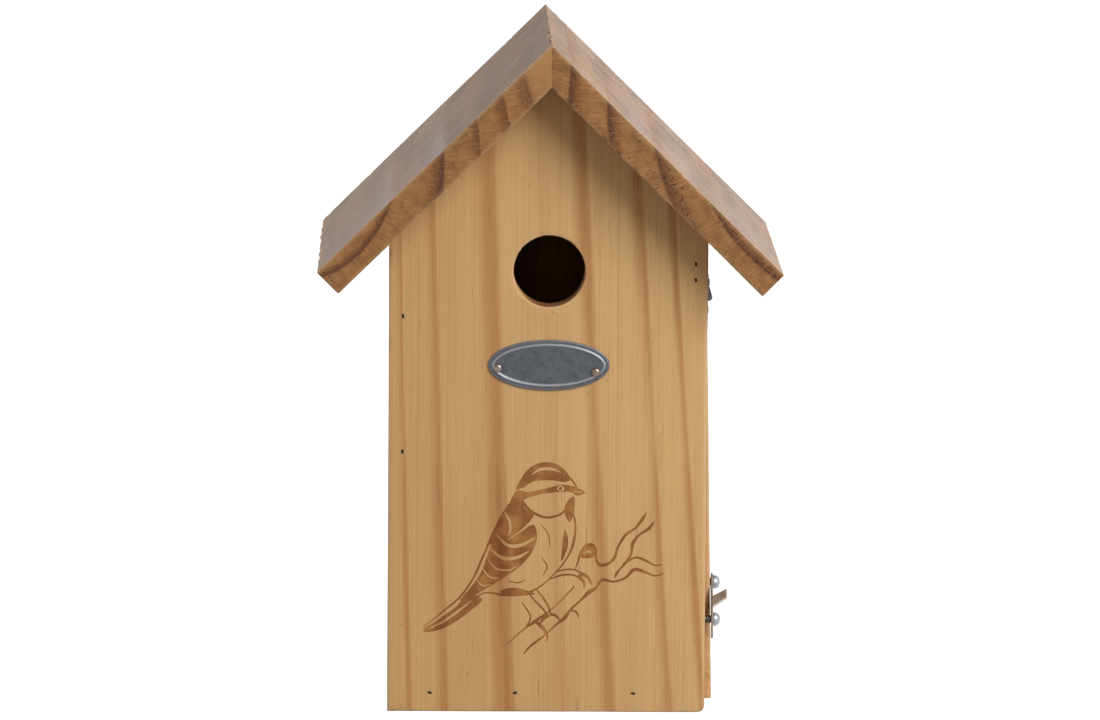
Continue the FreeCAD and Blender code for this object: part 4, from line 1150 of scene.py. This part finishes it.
def screw_tree():
    """Screws and nails on the points of a mesh: a rounded head, a cross in it or none, and a threaded shank."""
    tree = Tree("turned_screws")
    seats = tree.socket("Seats", "Geometry")
    sizes = {name: tree.socket(name, "Float") for name in (
        "Head radius", "Head height", "Roundness", "Cross width", "Cross depth", "Shank radius", "Shank length",
        "Thread pitch", "Thread depth")}
    crossed = tree.socket("Crossed", "Bool")
    finish = tree.socket("Finish", "Material")
    tree.socket("Geometry", "Geometry", "OUTPUT")
    circle = tree.node("GeometryNodeCurvePrimitiveCircle", (), {"Resolution": 40, "Radius": 1.0})

    def swept(low, high, count, radius):
        line = tree.node("GeometryNodeCurvePrimitiveLine", (), {
            "Start": tree.upright(low), "End": tree.upright(high)})
        line = tree.node("GeometryNodeResampleCurve", (), {"Curve": line, "Count": count})
        return line, lambda curve: tree.node("GeometryNodeCurveToMesh", (), {
            "Curve": curve, "Profile Curve": circle, "Scale": radius, "Fill Caps": True})

    step = tree.math("DIVIDE", tree.node("GeometryNodeInputIndex"), float(HEAD_STEPS))
    turn = tree.math("MULTIPLY", step, math.pi / 2)
    rise = tree.math("POWER", tree.math("SINE", turn), sizes["Roundness"])
    fall = tree.math("POWER", tree.math("MAXIMUM", tree.math("COSINE", turn), 0.0), sizes["Roundness"])
    head_line, sweep = swept(0.0, sizes["Head height"], HEAD_STEPS + 1,
                             tree.math("MAXIMUM", tree.math("MULTIPLY", fall, sizes["Head radius"]), 0.02 * MM))
    head_line = tree.node("GeometryNodeSetPosition", (), {
        "Geometry": head_line, "Position": tree.upright(tree.math("MULTIPLY", rise, sizes["Head height"]))})
    head = sweep(head_line)
    wide = tree.math("MULTIPLY", sizes["Head radius"], 0.95)
    deep = tree.math("MULTIPLY", sizes["Cross depth"], 2.0)
    bars = [tree.node("GeometryNodeMeshCube", (), {"Size": tree.node("ShaderNodeCombineXYZ", (), {
        0: x, 1: y, 2: deep})}) for x, y in ((wide, sizes["Cross width"]), (sizes["Cross width"], wide))]
    tools = [tree.node("GeometryNodeTransform", (), {
        "Geometry": bar, "Translation": tree.upright(sizes["Head height"])}) for bar in bars]
    slotted = tree.node("GeometryNodeMeshBoolean", {"operation": "DIFFERENCE", "solver": "EXACT"}, {"Mesh 1": head})
    for tool in tools:
        tree.group.links.new(tool, slotted.node.inputs["Mesh 2"])
    head = tree.node("GeometryNodeSwitch", {"input_type": "GEOMETRY"}, {
        "Switch": crossed, "False": head, "True": slotted})

    shank_line, sweep = swept(tree.math("MULTIPLY", sizes["Shank length"], -1.0), 0.0, 120, sizes["Shank radius"])
    place = tree.node("GeometryNodeInputPosition")
    x, y, z = (tree.node("ShaderNodeSeparateXYZ", (), {0: place}, k) for k in range(3))
    wind = tree.math("ADD", tree.math("DIVIDE", tree.math("MULTIPLY", z, 2 * math.pi), sizes["Thread pitch"]),
                     tree.math("ARCTAN2", y, x))
    ridge = tree.math("MULTIPLY", tree.math("SINE", wind), sizes["Thread depth"])
    away = tree.node("ShaderNodeVectorMath", {"operation": "NORMALIZE"}, {
        0: tree.node("ShaderNodeCombineXYZ", (), {0: x, 1: y})})
    shank = tree.node("GeometryNodeSetPosition", (), {"Geometry": sweep(shank_line), "Offset": tree.node(
        "ShaderNodeVectorMath", {"operation": "SCALE"}, {0: away, "Scale": ridge})})

    both = tree.node("GeometryNodeJoinGeometry")
    for part in (head, shank):
        tree.group.links.new(part, both.node.inputs[0])
    attribute = tree.node("GeometryNodeInputNamedAttribute", {"data_type": "FLOAT_VECTOR"}, {"Name": "turn"})
    placed = tree.node("GeometryNodeInstanceOnPoints", (), {"Points": seats, "Instance": both, "Rotation": tree.node(
        "FunctionNodeEulerToRotation", (), {"Euler": attribute})})
    real = tree.node("GeometryNodeRealizeInstances", (), {"Geometry": placed})
    smooth = tree.node("GeometryNodeSetShadeSmooth", (), {"Geometry": real})
    done = tree.node("GeometryNodeSetMaterial", (), {"Geometry": smooth, "Material": finish})
    tree.group.links.new(done, tree.group.nodes.new("NodeGroupOutput").inputs[0])
    return tree.group


SCREWS = screw_tree()


def screws(name, node, facing, base, body, slot, finish, spins, **sizes):
    """Sets screws where a CAD node's are. base is the height of the heads' undersides along facing."""
    axis = int(np.argmax(np.abs(facing)))
    seats = bpy.data.meshes.new(name + "_seats")
    places = []
    for solid in islands(node):
        place = (solid.min(0) + solid.max(0)) / 2
        place[axis] = base
        places.append(tuple(place * MM))
    seats.from_pydata(places, [], [])
    turns = []
    for spin in spins[:len(places)]:
        turn = Vector(facing).to_track_quat("Z", "Y").to_matrix() @ Matrix.Rotation(math.radians(spin), 3, "Z")
        turns += list(turn.to_euler())
    seats.attributes.new("turn", "FLOAT_VECTOR", "POINT").data.foreach_set("vector", turns)
    piece = shown(name, seats)
    modifier = piece.modifiers.new("screws", "NODES")
    modifier.node_group = SCREWS
    values = {key.replace("_", " ").capitalize(): value for key, value in sizes.items()}
    values["Finish"] = finish
    for item in SCREWS.interface.items_tree:
        if item.in_out == "INPUT" and item.name in values:
            value = values[item.name]
            modifier[item.identifier] = value * MM if isinstance(value, float) and item.name != "Roundness" else value
    mesh = bpy.data.meshes.new_from_object(piece.evaluated_get(bpy.context.evaluated_depsgraph_get()))
    piece.modifiers.clear()
    piece.data = mesh
    mesh.set_sharp_from_angle(angle=math.radians(42))
    # the shank and the head's underside are painted dark: painted shade in the gap under the head
    along_axis = np.array([v.co[axis] for v in mesh.vertices]) * facing[axis]
    dull_and_painted_shade = (along_axis < (base * facing[axis] + 0.02) * MM).astype(float)
    mesh.attributes.new("dull_and_painted_shade", "FLOAT", "POINT").data.foreach_set("value", dull_and_painted_shade)
    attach(piece, body)
    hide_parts(node)


PLATE_THICK = 0.8
screws("plate_pins", "plate_nails", (0, -1, 0), FRONT_LOW[1] - PLATE_THICK, "carcass", "bright_zinc", WARM_NAILS,
       (20, 65), head_radius=1.75, head_height=1.0, roundness=0.95, crossed=False, shank_radius=0.6,
       shank_length=10.0, thread_pitch=1.0, thread_depth=0.0)
for part, body, head_height in (("rail", "carcass", 0.9), ("door", "door", 0.5)):
    screws(f"hinge_{part}_screws", f"hinge_screws_{part}", (1, 0, 0), door_face + 0.3, body, "hinge_steel",
           HINGE_STEEL, (12, 70, 33, 95), head_radius=1.75, head_height=head_height, roundness=0.6, crossed=True,
           cross_width=0.42, cross_depth=0.35, shank_radius=0.85, shank_length=8.5, thread_pitch=0.8,
           thread_depth=0.14)
for name, body, spin, down in (("pivot", "door", 24, 0), ("keeper", "carcass", 58, 17)):
    head_low = box_of("latch_hook")[0][0] + HOOK_SHEET + 0.12 - HOOK_IN - HOOK_TILT * down
    screws(f"latch_{name}_bolt", f"latch_{name}_screw", (1, 0, 0), head_low, body, "bright_zinc", BRIGHT_ZINC,
           (spin,), head_radius=2.7, head_height=2.6, roundness=0.8, crossed=True, cross_width=0.6,
           cross_depth=1.1, shank_radius=1.5, shank_length=13.4, thread_pitch=1.25, thread_depth=0.18)


# ---------------------------------------------------- floor, light and camera

FLOOR_GLOW, FLOOR_GREY = 0.88, 0.32            # the floor's own light, and its colour under the lamps
FILL = 0.43                                    # light from all sides, as a share of white


def emptied(owner):
    """A wire to start an emptied node tree of a material or a world from."""
    owner.use_nodes = True
    owner.node_tree.nodes.clear()
    return Wire(owner.node_tree)


def seen_directly(start):
    """1 for what the camera sees, straight or in metal and glass."""
    path = start.node("LightPath").socket.node
    camera_ray, glossy, passing = (Wire(start.tree, path.outputs[name]) for name in (
        "Is Camera Ray", "Is Glossy Ray", "Is Transmission Ray"))
    return passing.math("MAXIMUM", camera_ray.math("MAXIMUM", camera_ray, glossy), passing)


def stage_floor():
    """A pale floor that is white to the eye but keeps the object's shadow. It is clear from below."""
    half = 30.0
    mesh = bpy.data.meshes.new("floor")
    mesh.from_pydata([(-half, -half, 0), (half, -half, 0), (half, half, 0), (-half, half, 0)], [], [(0, 1, 2, 3)])
    finish = bpy.data.materials.new("pale_floor")
    start = emptied(finish)
    pale = start.node("BsdfDiffuse", (), {"Color": (FLOOR_GREY, FLOOR_GREY, FLOOR_GREY, 1)})
    glow = start.node("Emission", (), {"Color": (1, 1, 1, 1), "Strength": seen_directly(start) * FLOOR_GLOW})
    both = start.node("AddShader", (), {0: pale, 1: glow})
    below = start.node("NewGeometry", (), (), 6)
    surface = start.node("MixShader", (), {0: below, 1: both, 2: start.node("BsdfTransparent")})
    start.node("OutputMaterial", (), {"Surface": surface})
    mesh.materials.append(finish)
    shown("floor", mesh)


def white_world():
    """Even white light, and white wherever it is seen."""
    world = bpy.data.worlds.new("studio")
    start = emptied(world)
    light = start.node("Background", (), {
        "Color": (1, 1, 1, 1), "Strength": seen_directly(start) * (1 - FILL) + FILL})
    start.node("OutputWorld", (), {"Surface": light})
    bpy.context.scene.world = world


def soft_box(name, way, distance, size, level):
    """A round soft light. level is what it adds to a white surface that faces it."""
    aim = Vector((0, -0.06, 0.14))
    way = Vector(way).normalized()
    lamp = bpy.data.lights.new(name, "AREA")
    lamp.shape = "DISK"
    lamp.size = size
    lamp.energy = level * math.pi ** 2 * distance ** 2
    light = shown(name, lamp)
    light.location = aim + way * distance
    light.rotation_euler = way.to_track_quat("Z", "Y").to_euler()


def camera():
    """A long lens a little above the box, just left of its middle."""
    yaw, pitch, roll = 0.0170, 0.1445, 0.0073
    ahead = Vector((math.sin(yaw) * math.cos(pitch), math.cos(yaw) * math.cos(pitch), -math.sin(pitch)))
    right = ahead.cross(Vector((0, 0, 1))).normalized()
    up = right.cross(ahead)
    right, up = right * math.cos(roll) + up * math.sin(roll), up * math.cos(roll) - right * math.sin(roll)
    made = bpy.data.cameras.new("camera")
    made.sensor_width = 36
    made.lens = 248.12
    made.clip_end = 200
    eye = shown("camera", made)
    eye.matrix_world = Matrix((right, up, -ahead)).transposed().to_4x4()
    eye.location = (-0.0493, -2.9846, 0.5652)
    bpy.context.scene.camera = eye


stage_floor()
white_world()
soft_box("key_light", (0.84, -1.0, 0.80), distance=6.0, size=4.3, level=0.98)
soft_box("rear_light", (-1.0, 0.55, 0.45), distance=3.0, size=2.0, level=0.32)
camera()
bpy.context.scene.view_settings.view_transform = "Standard"
